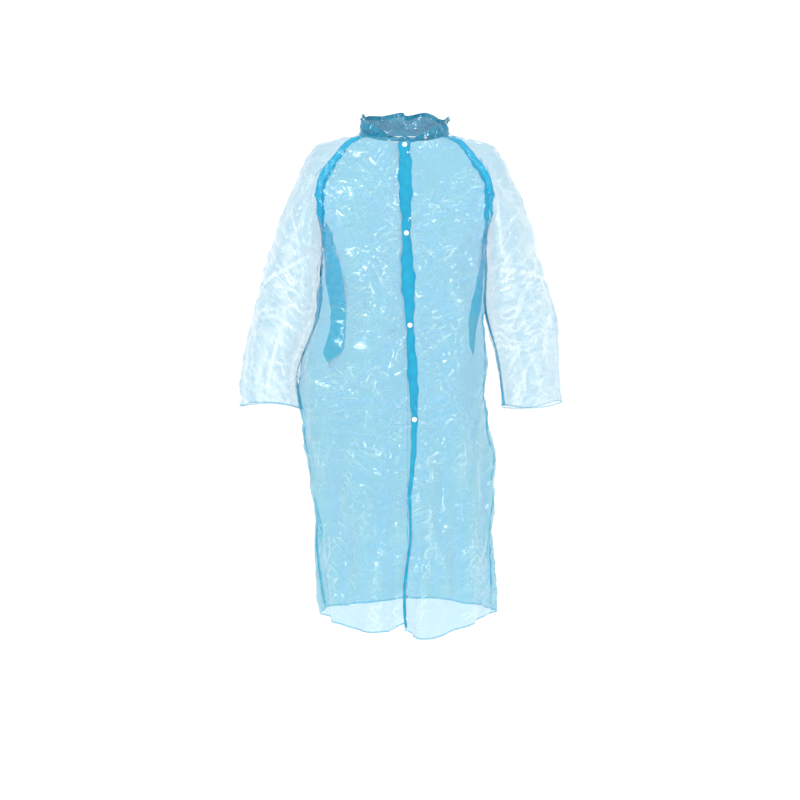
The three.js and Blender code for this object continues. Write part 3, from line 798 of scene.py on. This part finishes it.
def settle(panels, frames=22, grow=0.022, cap=0.009):
    """Lets each sheet grow a little and sag between its welds, and keeps where it comes to rest."""
    scene = bpy.context.scene
    scene.frame_start = 1
    scene.frame_end = frames
    scene.frame_set(1)
    made = []
    for name, (grid, pinned, _, _) in panels.items():
        piece = grid_mesh("settling_" + name, grid)
        group = piece.vertex_groups.new(name="held")
        for i, weight in enumerate(pinned.ravel()):
            if weight > 0:
                group.add([i], float(weight), "REPLACE")
        cloth = piece.modifiers.new("film", "CLOTH")
        film = cloth.settings
        film.quality = 5
        film.mass = 0.06
        film.tension_stiffness = 18
        film.compression_stiffness = 18
        film.shear_stiffness = 12
        film.bending_stiffness = 0.06
        film.tension_damping = 12
        film.compression_damping = 12
        film.shear_damping = 8
        film.air_damping = 2
        film.vertex_group_mass = "held"
        film.shrink_min = -grow
        film.effector_weights.gravity = 0.5
        cloth.point_cache.frame_start = 1
        cloth.point_cache.frame_end = frames
        made.append((name, piece, grid))
    for step in range(1, frames + 1):
        scene.frame_set(step)
    graph = bpy.context.evaluated_depsgraph_get()
    settled = {}
    for name, piece, grid in made:
        shape = piece.evaluated_get(graph).to_mesh()
        flat = np.empty(grid.size)
        shape.vertices.foreach_get("co", flat)
        move = flat.reshape(grid.shape) - grid
        length = np.linalg.norm(move, axis=-1, keepdims=True)
        move *= cap * np.tanh(length / cap) / np.maximum(length, 1e-9)
        settled[name] = grid + move
    for name, piece, grid in made:
        mesh = piece.data
        bpy.data.objects.remove(piece)
        bpy.data.meshes.remove(mesh)
    scene.frame_set(1)
    return settled


def crumple(grid, turn, fade, seed, slope, deep=1.0):
    """Small sharp creases all over a sheet, most of them along one slope."""
    normals = turn * grid_normals(grid)
    facets = creases_at(grid, 0.026, seed, slope) - 0.35
    long_crests = crests_at(grid, 0.046, seed + 7, slope + 0.2) - 0.4
    crests = crests_at(grid, 0.019, seed + 13, slope - 0.25) - 0.4
    patches = np.clip(0.5 + 0.9 * noise_at(grid, 0.11, seed + 3), 0, 1)
    out = 0.0009 * facets * (0.3 + patches) + 0.0029 * long_crests * (0.4 + patches)
    out += 0.0015 * crests * (0.3 + patches) + 0.0016 * noise_at(grid, 0.060, seed + 11)
    return grid + normals * (deep * out * fade)[..., None]


def bend_of(grid, turn, reach=1):
    """How sharply a sheet bends at each point, per metre: above 0 on a ridge, below 0 in a valley."""
    normals = turn * grid_normals(grid)
    total = np.zeros(grid.shape[:2])
    for axis in (0, 1):
        before = np.roll(grid, reach, axis)
        after = np.roll(grid, -reach, axis)
        gap = np.linalg.norm(after - before, axis=-1) / 2
        share = ((2 * grid - before - after) * normals).sum(-1) / np.maximum(gap, 1e-4) ** 2
        edge = [slice(None), slice(None)]
        for end in (slice(0, reach), slice(-reach, None)):
            edge[axis] = end
            share[tuple(edge)] = 0
        total += share
    return total


def tone_of(name, grid, turn):
    """How deep the film's colour is: above 0 beside welds, and as painted shade in folds and along creases; below 0
    on pale ridges, which are partly whitened film and partly painted highlight.
    """
    x, y, z = np.moveaxis(grid, -1, 0)
    # painted shade in valleys and painted highlight on crests, read from how sharply the film bends
    bend = np.clip(bend_of(grid, turn, 2) / 80, -1, 1)
    broad = np.clip(bend_of(grid, turn, 7) / 16, -1, 1)
    patches = np.clip(0.4 + 1.3 * noise_at(grid, 0.07, 47.0), 0, 1)
    ridges = patches * np.clip(bend_of(grid, turn, 1) / 100 - 0.30, 0, 1)
    # lines: painted shade deepening the colour in fold valleys and broad hollows; the pale ridges are partly
    # whitened film, partly painted highlight
    lines = np.clip(-bend, 0, 1) * 0.8 - ridges - 0.16 * broad
    soft = 0.16 * noise_at(grid, 0.09, 41.0)
    if "sleeve" in name:
        near_body = bump(np.abs(x), 0.17, 0.085) * ease(z, -0.33, -0.12)
        inner = bump(np.abs(x), 0.20, 0.03) * ease(z, -0.62, -0.25)
        return np.clip(0.10 + 0.62 * near_body + 0.22 * inner + 1.1 * lines + 0.6 * soft, -1, 1)
    edge = np.abs(grid[:, -1:, 0])
    beside = ease(np.abs(x) / edge, 0.80, 0.98) * ease(z, -0.60, -0.42) * (1 - ease(z, -0.12, -0.05))
    seam = ease(z, -0.26, -0.20) * ease(np.abs(x) / edge, 0.82, 1.0) * 0.35
    lower = 0.08 * ease(-z, 0.50, 0.80)
    # painted shade along each single crease
    single = sum(crease_line(grid, c[0], c[1], 0.0036) for c in (FRONT_CREASES if "front" in name else BACK_CREASES))
    armpit = bump(np.abs(x), 0.180, 0.035) * bump(z, -0.225, 0.085)
    deep = 0.45 * beside + seam - lower + 0.6 * armpit
    return np.clip(0.28 + deep + lines + 0.75 * single + soft, -1, 1)


# ---- Finishes ----


def new_material(name):
    finish = bpy.data.materials.new(name)
    finish.use_nodes = True
    nodes = finish.node_tree.nodes
    return finish, nodes, finish.node_tree.links, nodes["Principled BSDF"]


def mapped(nodes, links, scale, source="Object", slope=0.0):
    where = nodes.new("ShaderNodeTexCoord")
    turn = nodes.new("ShaderNodeMapping")
    turn.inputs["Scale"].default_value = scale
    turn.inputs["Rotation"].default_value = (0, slope, 0)
    links.new(where.outputs[source], turn.inputs["Vector"])
    return turn.outputs["Vector"]


def fine_noise(nodes, links, vector, scale, detail, distortion=0.0):
    node = nodes.new("ShaderNodeTexNoise")
    node.inputs["Scale"].default_value = scale
    node.inputs["Detail"].default_value = detail
    node.inputs["Distortion"].default_value = distortion
    links.new(vector, node.inputs["Vector"])
    return node


def crackle(nodes, links, vector, scale):
    node = nodes.new("ShaderNodeTexVoronoi")
    node.feature = "DISTANCE_TO_EDGE"
    node.inputs["Scale"].default_value = scale
    links.new(vector, node.inputs["Vector"])
    return node.outputs["Distance"]


def span(nodes, links, value, from_low, from_high, to_low, to_high):
    node = nodes.new("ShaderNodeMapRange")
    node.inputs["From Min"].default_value = from_low
    node.inputs["From Max"].default_value = from_high
    node.inputs["To Min"].default_value = to_low
    node.inputs["To Max"].default_value = to_high
    links.new(value, node.inputs["Value"])
    return node.outputs["Result"]


def blend_colour(nodes, links, share, first, second):
    node = nodes.new("ShaderNodeMix")
    node.data_type = "RGBA"
    for key, value in ((6, first), (7, second)):
        if isinstance(value, tuple):
            node.inputs[key].default_value = (*value, 1)
        else:
            links.new(value, node.inputs[key])
    links.new(share, node.inputs["Factor"])
    return node.outputs[2]


def film_finish(name, tint, deep, pale, alpha, crease=30.0, relief=0.0010, ribbed=False):
    """Thin glossy film: deeper in its folds as painted shade and where doubled, cloudy, with patches of fine
    crinkles and drawn streaks, and pale crease lines that are partly whitened film and partly painted highlight.
    """
    finish, nodes, links, shader = new_material(name)
    even = mapped(nodes, links, (1, 1, 1))
    bent = fine_noise(nodes, links, even, 24, 3)
    mix = nodes.new("ShaderNodeVectorMath")
    mix.operation = "MULTIPLY_ADD"
    mix.inputs[1].default_value = (0.045, 0.045, 0.045)
    links.new(bent.outputs["Color"], mix.inputs[0])
    links.new(even, mix.inputs[2])
    warped = mix.outputs["Vector"]
    big = crackle(nodes, links, warped, crease)
    drawn = mapped(nodes, links, (0.45, 0.9, 1.3), slope=0.6)
    ridges = fine_noise(nodes, links, drawn, crease * 1.5, 4, 0.5)
    ridges.noise_type = "RIDGED_MULTIFRACTAL"
    ridges.normalize = True
    patches = fine_noise(nodes, links, even, 14, 2, 0.8)
    crinkled = span(nodes, links, patches.outputs["Fac"], 0.42, 0.60, 0, 1)
    clouds = fine_noise(nodes, links, even, 9, 4, 0.6)
    streaks = fine_noise(nodes, links, mapped(nodes, links, (20, 20, 190)), 1.0, 2)
    grain = fine_noise(nodes, links, even, 420, 3)
    tone = nodes.new("ShaderNodeAttribute")
    tone.attribute_name = "tone"
    cloudy = span(nodes, links, clouds.outputs["Fac"], 0.30, 0.70, -0.10, 0.14)
    depth = nodes.new("ShaderNodeMath")
    depth.use_clamp = True
    links.new(tone.outputs["Fac"], depth.inputs[0])
    links.new(cloudy, depth.inputs[1])
    # the deep colour stands both for doubled film and for painted shade in folds, as the tone attribute says
    body = blend_colour(nodes, links, depth.outputs["Value"], tint, deep)
    # pale crackle lines in the crinkled patches: partly whitened creases, partly painted highlight
    edge = span(nodes, links, big, 0.0, 0.035, 0.14, 0.0)
    edged = nodes.new("ShaderNodeMath")
    edged.operation = "MULTIPLY"
    links.new(edge, edged.inputs[0])
    links.new(crinkled, edged.inputs[1])
    creased = blend_colour(nodes, links, edged.outputs["Value"], body, pale)
    # pale where tone falls below 0 on ridges: partly whitened film, partly painted highlight
    ridge = span(nodes, links, tone.outputs["Fac"], 0.1, -0.9, 0.0, 0.42)
    creased = blend_colour(nodes, links, ridge, creased, pale)
    links.new(creased, shader.inputs["Base Color"])
    rough = span(nodes, links, clouds.outputs["Fac"], 0.25, 0.75, 0.12, 0.24)
    links.new(rough, shader.inputs["Roughness"])
    heights = []
    for value, top, share in ((big, 0.30, 0.35), (ridges.outputs["Fac"], 1.0, 2.3)):
        part = nodes.new("ShaderNodeMath")
        part.operation = "MULTIPLY"
        links.new(span(nodes, links, value, 0, top, 0, 1), part.inputs[0])
        links.new(crinkled, part.inputs[1])
        heights.append((part.outputs["Value"], relief * share))
    heights.append((streaks.outputs["Fac"], relief * 0.14))
    heights.append((grain.outputs["Fac"], relief * 0.012))
    if ribbed:
        ribs = nodes.new("ShaderNodeTexWave")
        ribs.bands_direction = "Y"
        ribs.inputs["Scale"].default_value = 160
        ribs.inputs["Distortion"].default_value = 1.2
        links.new(mapped(nodes, links, (1, 1, 1), "UV"), ribs.inputs["Vector"])
        heights.append((ribs.outputs["Fac"], relief * 0.22))
    normal = None
    for value, distance in heights:
        relief_node = nodes.new("ShaderNodeBump")
        relief_node.inputs["Strength"].default_value = 1.0
        relief_node.inputs["Distance"].default_value = distance
        links.new(value, relief_node.inputs["Height"])
        if normal:
            links.new(normal, relief_node.inputs["Normal"])
        normal = relief_node.outputs["Normal"]
    links.new(normal, shader.inputs["Normal"])
    shader.inputs["Alpha"].default_value = alpha
    shader.inputs["IOR"].default_value = 1.45
    shader.inputs["Specular IOR Level"].default_value = 0.6
    shader.inputs["Coat Weight"].default_value = 0.32
    shader.inputs["Coat Roughness"].default_value = 0.10
    shader.inputs["Coat IOR"].default_value = 1.4
    finish.use_backface_culling = False
    return finish


def plastic_finish(name):
    """White moulded plastic with a slight mottle and fine scuffs."""
    finish, nodes, links, shader = new_material(name)
    even = mapped(nodes, links, (1, 1, 1))
    mottle = fine_noise(nodes, links, even, 240, 4)
    scuffs = fine_noise(nodes, links, mapped(nodes, links, (900, 300, 500)), 1.0, 4, 0.8)
    share = span(nodes, links, mottle.outputs["Fac"], 0.35, 0.65, 0, 1)
    body = blend_colour(nodes, links, share, (0.86, 0.89, 0.90), (0.72, 0.80, 0.84))
    links.new(body, shader.inputs["Base Color"])
    rough = span(nodes, links, scuffs.outputs["Fac"], 0.3, 0.7, 0.28, 0.46)
    links.new(rough, shader.inputs["Roughness"])
    bump_node = nodes.new("ShaderNodeBump")
    bump_node.inputs["Distance"].default_value = 0.00008
    links.new(scuffs.outputs["Fac"], bump_node.inputs["Height"])
    links.new(bump_node.outputs["Normal"], shader.inputs["Normal"])
    shader.inputs["IOR"].default_value = 1.49
    return finish


# deep colours: denser doubled film and painted shade in folds; pale colours: whitened creases and painted highlight
body_finish = film_finish(
    "coat_film", (0.016, 0.395, 0.525), (0.002, 0.400, 0.640), (0.68, 0.91, 0.98), 0.50, 30, 0.0020
)
sleeve_finish = film_finish(
    "sleeve_film_finish", (0.46, 0.68, 0.74), (0.006, 0.34, 0.51), (0.84, 0.96, 0.99), 0.36, 30, 0.0016
)
placket_finish = film_finish(
    "placket_film_finish", (0.006, 0.39, 0.60), (0.002, 0.28, 0.49), (0.14, 0.56, 0.76), 0.87, 46, 0.0008
)
collar_finish = film_finish(
    "collar_film_finish", (0.004, 0.27, 0.42), (0.002, 0.17, 0.30), (0.20, 0.58, 0.74), 0.93, 40, 0.0012
)
weld_finish = film_finish(
    "weld_film_finish", (0.006, 0.42, 0.66), (0.002, 0.33, 0.58), (0.14, 0.56, 0.78), 0.87, 60, 0.0006, True
)
snap_finish = plastic_finish("snap_plastic_finish")


def dress(piece, finish):
    piece.data.materials.clear()
    piece.data.materials.append(finish)


# ---- Film panels ----


def bend_with_front(piece):
    """Bakes the piece's placement into its mesh."""
    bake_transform(piece)


def bend_collar(piece):
    """Bakes the collar half's placement into its mesh."""
    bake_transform(piece)


def bend_with_sleeve(piece):
    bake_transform(piece)


panels = {"film_back": back_panel()}
for hand in HANDS:
    panels["film_front_" + NAMES[hand]] = front_panel(hand)
    panels["film_sleeve_" + NAMES[hand]] = sleeve_panel(hand)
rested = settle(panels)


def hem_turned(grid, turn, first, reach=0.0035):
    """A narrow turned edge, added beyond the first or the last row."""
    normals = turn * grid_normals(grid)
    edge = 0 if first else -1
    inside = 1 if first else -2
    up = grid[inside] - grid[edge]
    up /= np.maximum(np.linalg.norm(up, axis=-1, keepdims=True), 1e-9)
    roll = grid[edge] - normals[edge] * 0.0009 - up * 0.0006
    back = grid[edge] - normals[edge] * 0.0014 + up * reach
    if first:
        return np.concatenate([back[None], roll[None], grid])
    return np.concatenate([grid, roll[None], back[None]])


finals = {}
for name, (_, _, turn, doubled) in panels.items():
    grid = finer(rested[name])
    doubled = finer(doubled)
    rows, columns = grid.shape[:2]
    sleeve = "sleeve" in name
    fade = fades((rows, columns), name != "film_front_left" and name != "film_front_right", True, not sleeve, 6)
    if sleeve:
        fade *= ease(np.arange(rows), 0, 6)[:, None]
    if "front" in name:
        fade *= ease(np.arange(columns), COLS_BAND, 2 * COLS_BAND + 5)[None, :]
    seed = 5.0 + 3.0 * len(finals)
    deep = 1.15 if sleeve else 1.0
    slope = 0.35 if name == "film_back" else 0.6 * turn
    finals[name] = (crumple(grid, turn, fade, seed, slope, deep), turn, doubled)


def film_piece(name, finish, nodes):
    grid, turn, doubled = finals[name]
    first = "sleeve" not in name
    edged = hem_turned(grid, turn, first)
    extra = doubled[:1] if first else doubled[-1:]
    doubled = np.concatenate([extra, extra, doubled] if first else [doubled, extra, extra])
    tone = np.clip(tone_of(name, edged, turn) + 0.45 * doubled, -1, 1)
    ends = slice(0, 3) if first else slice(-3, None)
    tone[ends] = 1.0
    if turn > 0:
        piece = grid_mesh(name, edged, tone=tone)
    else:
        piece = grid_mesh(name, edged[:, ::-1], tone=tone[:, ::-1])
    shape = bmesh.new()
    shape.from_mesh(piece.data)
    bmesh.ops.remove_doubles(shape, verts=shape.verts, dist=1e-5)
    shape.to_mesh(piece.data)
    shape.free()
    smooth_faces(piece)
    dress(piece, finish)
    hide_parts(*nodes)
    return piece


back = film_piece(
    "film_back",
    body_finish,
    ["back_panel"],
)
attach(back, "coat_body")

for hand in HANDS:
    side = NAMES[hand]
    front = film_piece(
        "film_front_" + side,
        body_finish,
        ["front_panel_" + side, "front_side_" + side],
    )
    bend_with_front(front)
    sleeve = film_piece(
        "film_sleeve_" + side,
        sleeve_finish,
        ["shoulder_" + side, "sleeve_" + side],
    )
    bend_with_sleeve(sleeve)


# ---- Welded bands and plackets ----

for hand in HANDS:
    side = NAMES[hand]
    grid, turn, _ = finals["film_front_" + side]
    normals = turn * grid_normals(grid)
    width = 2 * COLS_BAND + 1
    strip = band("placket_fold_" + side, grid[2:, :width], normals[2:, :width], 0.0003, 0.0012)
    smooth_faces(strip)
    dress(strip, placket_finish)
    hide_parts("placket_" + side)
    bend_with_front(strip)

    upper = 2 * ROWS_LOWER
    raglan = np.linspace(0.024, 0.0145, len(grid) - upper)
    points, facing = edge_strip(grid[upper:], normals[upper:], True, raglan)
    weld = band("raglan_band_front_" + side, points, facing, 0.0004, 0.0006)
    smooth_faces(weld)
    dress(weld, weld_finish)
    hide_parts("raglan_weld_front_" + side)
    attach(weld, "coat_body")

    points, facing = edge_strip(grid[2:upper], normals[2:upper], True, 0.0045, 3)
    seam = band("side_band_" + side, points, facing, -0.0018, 0.0006)
    smooth_faces(seam)
    dress(seam, weld_finish)
    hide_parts("side_weld_" + side)
    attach(seam, "coat_body")

    grid, turn, _ = finals["film_back"]
    normals = turn * grid_normals(grid)
    points, facing = edge_strip(grid[upper:], normals[upper:], hand > 0, raglan)
    weld = band("raglan_band_back_" + side, points, facing, 0.0004, 0.0006)
    smooth_faces(weld)
    dress(weld, weld_finish)
    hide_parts("raglan_weld_back_" + side)
    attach(weld, "coat_body")

    grid, turn, _ = finals["film_sleeve_" + side]
    normals = turn * grid_normals(grid)
    first = 2 * STATIONS_UP * ROWS_STATION + 2
    points, facing = edge_strip(grid[first:], normals[first:], False, 0.0045, 3)
    others, other_facing = edge_strip(grid[first:], normals[first:], True, 0.0045, 3)
    points = np.concatenate([others[:, :0:-1], points], 1)
    facing = np.concatenate([other_facing[:, :0:-1], facing], 1)
    seam = band("underarm_band_" + side, points, facing, -0.0020, 0.0006)
    smooth_faces(seam)
    dress(seam, weld_finish)
    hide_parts("sleeve_weld_" + side)
    bend_with_sleeve(seam)


# ---- Collar ----


def collar_half(hand):
    """Half of the standing collar, from the front edge to the middle of the back."""
    columns, rows = int(120 / CELL), int(26 / CELL)
    first = math.radians(-2.6 if hand > 0 else 0.3)
    angle = np.linspace(first, math.pi, columns + 1)[None, :]
    v = np.linspace(0, 1, rows + 1)[:, None]
    full = ease(np.degrees(angle), 6, 82)
    height = lerp(COLLAR_FRONT, COLLAR_HEIGHT, full) * (1 + 0.06 * np.sin(5 * angle + hand))
    rolled = bump(angle, 1.25, 0.62) * (0.32 if hand > 0 else 0.20)
    s, c = np.sin(angle), np.cos(angle)
    lean = v * (1 - 0.4 * rolled)
    base = neck_point(angle)
    x = lerp(base[..., 0], COLLAR_X * s, lean)
    y = lerp(base[..., 1], NECK_CENTRE - COLLAR_Y * c, lean)
    peak = 0.58 + 0 * angle
    over = np.clip((v - peak) / (1 - peak), 0, 1)
    lift = np.where(v < peak, v, lerp(v, 2 * peak - v, rolled))
    z = neck_edge(angle)[..., 2] + 0.0005 + height * lift
    out = 0.016 * rolled * np.sin(over * math.pi / 2)
    out = out + 0.004 * (1 - rolled) * ease(v, 0.5, 1.0)
    x = x + out * s * 1.1
    y = y - out * c
    if hand > 0:
        y = y - 0.0010 * (1 - ease(angle, 0.0, 0.15))
    grid = np.stack([x * hand, y, z], -1)
    normals = hand * grid_normals(grid)
    free = ease(v, 0.0, 0.35) + 0 * angle
    ends = ease(angle, 0.02, 0.14) * (1 - ease(angle, math.pi - 0.10, math.pi))
    turns = angle * (1 + 0.25 * v)
    wave = 0.0044 * np.sin(5 * turns + 3 * v + hand) + 0.0020 * np.sin(11 * turns - 4 * v)
    facets = creases_at(grid, 0.026, 21.0 + hand, 0.9 * hand) - 0.35
    small = crests_at(grid, 0.016, 31.0 + hand, -0.7 * hand) - 0.4
    push = (wave + 0.0034 * facets + 0.0009 * small) * free * ends
    grid = grid + normals * push[..., None]
    grid[..., 2] += 0.0018 * np.sin(7 * angle + 2 * hand) * ease(v, 0.4, 1.0) * ends * (1 - rolled)
    return grid


for hand in HANDS:
    side = NAMES[hand]
    grid = collar_half(hand)
    # deeper colour in the collar's fold valleys is painted shade; it is a little deeper on its crests too
    bend = np.clip(bend_of(grid, hand, 2) / 160, -1, 1)
    tone = np.clip(0.35 + 0.9 * np.clip(-bend, 0, 1) + 0.3 * np.clip(bend, 0, 1), 0, 1)
    grid = hem_turned(grid, hand, False, 0.010)
    tone = np.concatenate([tone, tone[-1:], tone[-1:]])
    faces = slice(None) if hand > 0 else slice(None, None, -1)
    half = grid_mesh("collar_half_" + side, grid[:, faces], tone=tone[:, faces])
    smooth_faces(half)
    dress(half, collar_finish)
    nodes = ["collar_end_" + side] + (["collar"] if hand > 0 else [])
    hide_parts(*nodes)
    bend_collar(half)


# ---- Press snaps ----


def press_cap(name, place, normal):
    """A round snap cap with a raised rim, a dished middle and a short post."""
    bpy.ops.object.select_all(action="DESELECT")
    bpy.ops.mesh.primitive_cylinder_add(vertices=48, radius=0.0056, depth=0.0010)
    cap = bpy.context.object
    cap.name = name
    cap.data.name = name
    bpy.ops.object.mode_set(mode="EDIT")
    bpy.ops.mesh.select_mode(type="FACE")
    bpy.ops.mesh.select_all(action="DESELECT")
    shape = bmesh.from_edit_mesh(cap.data)
    for face in shape.faces:
        face.select = face.normal.z > 0.9
    bmesh.update_edit_mesh(cap.data)
    bpy.ops.mesh.inset(thickness=0.0008)
    bpy.ops.mesh.extrude_region_move(TRANSFORM_OT_translate={"value": (0, 0, 0.0005)})
    bpy.ops.transform.resize(value=(0.96, 0.96, 1.0))
    bpy.ops.mesh.inset(thickness=0.0011)
    bpy.ops.transform.translate(value=(0, 0, -0.0004))
    bpy.ops.mesh.inset(thickness=0.0014)
    bpy.ops.transform.translate(value=(0, 0, 0.0001))
    bpy.ops.mesh.select_all(action="DESELECT")
    shape = bmesh.from_edit_mesh(cap.data)
    for face in shape.faces:
        face.select = face.normal.z < -0.9
    bmesh.update_edit_mesh(cap.data)
    bpy.ops.mesh.inset(thickness=0.0045)
    bpy.ops.mesh.extrude_region_move(TRANSFORM_OT_translate={"value": (0, 0, -0.0032)})
    bpy.ops.mesh.select_all(action="SELECT")
    bpy.ops.mesh.remove_doubles(threshold=1e-6)
    bpy.ops.mesh.normals_make_consistent(inside=False)
    bpy.ops.object.mode_set(mode="OBJECT")
    edges = cap.modifiers.new("soft_edges", "BEVEL")
    edges.width = 0.00018
    edges.segments = 3
    edges.limit_method = "ANGLE"
    edges.angle_limit = math.radians(35)
    bpy.ops.object.modifier_apply(modifier="soft_edges")
    turn = Vector((0, 0, 1)).rotation_difference(Vector(normal)).to_matrix().to_4x4()
    seat = Vector(place) + Vector(normal) * 0.0025
    cap.data.transform(Matrix.Translation(seat) @ turn)
    smooth_faces(cap, math.radians(35))
    return cap


for i, z in enumerate(SNAPS, 1):
    low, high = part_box(f"snap_cap_{i}")
    place, normal = snap_place(z)
    middle = (np.array(low) + np.array(high)) / 2
    cad_seat = middle + (place - middle) @ normal * normal
    cap = press_cap(f"press_cap_{i}", cad_seat, normal)
    dress(cap, snap_finish)
    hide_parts(f"snap_cap_{i}")
    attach(cap, "front_left")
    for kind in ("socket", "stud", "back_cap"):
        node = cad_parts[f"snap_{kind}_{i}"]
        for slot in node.material_slots:
            slot.material = snap_finish


# ---- Floor, light and camera ----


def studio():
    """A pale floor that sweeps up behind into a wall."""
    bpy.ops.object.select_all(action="DESELECT")
    bpy.ops.mesh.primitive_plane_add(size=1, location=(0, -11.0, -1.512))
    sweep = bpy.context.object
    sweep.name = "studio_sweep"
    sweep.data.transform(Matrix.Diagonal((40, 28, 1, 1)))
    bpy.ops.object.mode_set(mode="EDIT")
    bpy.ops.mesh.select_mode(type="EDGE")
    bpy.ops.mesh.select_all(action="DESELECT")
    shape = bmesh.from_edit_mesh(sweep.data)
    for edge in shape.edges:
        edge.select = all(v.co.y > 13.9 for v in edge.verts)
    bmesh.update_edit_mesh(sweep.data)
    for i in range(8):
        turn = math.radians(90 * (i + 0.5) / 8)
        step = (0, 0.31 * math.cos(turn), 0.31 * math.sin(turn))
        bpy.ops.mesh.extrude_region_move(TRANSFORM_OT_translate={"value": step})
    bpy.ops.mesh.extrude_region_move(TRANSFORM_OT_translate={"value": (0, 0, 6)})
    bpy.ops.object.mode_set(mode="OBJECT")
    bpy.ops.object.transform_apply(location=True, rotation=True, scale=True)
    smooth_faces(sweep, math.radians(40))
    finish, nodes, links, shader = new_material("studio_paper")
    grain = fine_noise(nodes, links, mapped(nodes, links, (1, 1, 1)), 60, 4)
    share = span(nodes, links, grain.outputs["Fac"], 0.3, 0.7, 0, 1)
    links.new(blend_colour(nodes, links, share, (0.93, 0.93, 0.93), (0.95, 0.95, 0.95)), shader.inputs["Base Color"])
    shader.inputs["Roughness"].default_value = 0.9
    shader.inputs["Emission Color"].default_value = (1, 1, 1, 1)
    shader.inputs["Emission Strength"].default_value = 0.24
    sweep.data.materials.append(finish)
    sweep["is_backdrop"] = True


def soft_box(name, place, target, size, power):
    light = bpy.data.lights.new(name, "AREA")
    light.shape = "RECTANGLE"
    light.size, light.size_y = size
    light.energy = power
    lamp = bpy.data.objects.new(name, light)
    lamp.location = place
    aim = Vector(target) - Vector(place)
    lamp.rotation_euler = aim.to_track_quat("-Z", "Y").to_euler()
    bpy.context.scene.collection.objects.link(lamp)


studio()
soft_box("key_box", (-2.3, -3.2, 1.3), (0, 0, -0.5), (0.42, 0.8), 66)
soft_box("fill_box", (2.6, -2.8, 0.6), (0, 0, -0.5), (0.42, 0.8), 36)
soft_box("top_box", (0.2, -0.8, 2.2), (0, 0, -0.3), (1.0, 0.4), 9)
soft_box("back_box", (0.8, 2.6, 1.4), (0, 0, -0.4), (1.0, 1.0), 16)

scene = bpy.context.scene
scene.view_settings.view_transform = "Standard"
world = bpy.data.worlds.new("studio_air")
scene.world = world
world.use_nodes = True
air = world.node_tree
sky = air.nodes["Background"]
sky.inputs["Color"].default_value = (0.96, 0.98, 1.0, 1)
sky.inputs["Strength"].default_value = 0.76
paper = air.nodes.new("ShaderNodeBackground")
paper.inputs["Color"].default_value = (1.0, 1.0, 1.0, 1)
rays = air.nodes.new("ShaderNodeLightPath")
seen = air.nodes.new("ShaderNodeMixShader")
air.links.new(rays.outputs["Is Camera Ray"], seen.inputs["Fac"])
air.links.new(sky.outputs["Background"], seen.inputs[1])
air.links.new(paper.outputs["Background"], seen.inputs[2])
air.links.new(seen.outputs["Shader"], air.nodes["World Output"].inputs["Surface"])

camera = bpy.data.cameras.new("camera")
camera.sensor_width = 36
camera.lens = 77.6
view = bpy.data.objects.new("camera", camera)
view.location = (-0.0104, -4.0, -0.603)
view.rotation_euler = (math.pi / 2, 0, 0)
scene.collection.objects.link(view)
scene.camera = view

low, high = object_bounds()
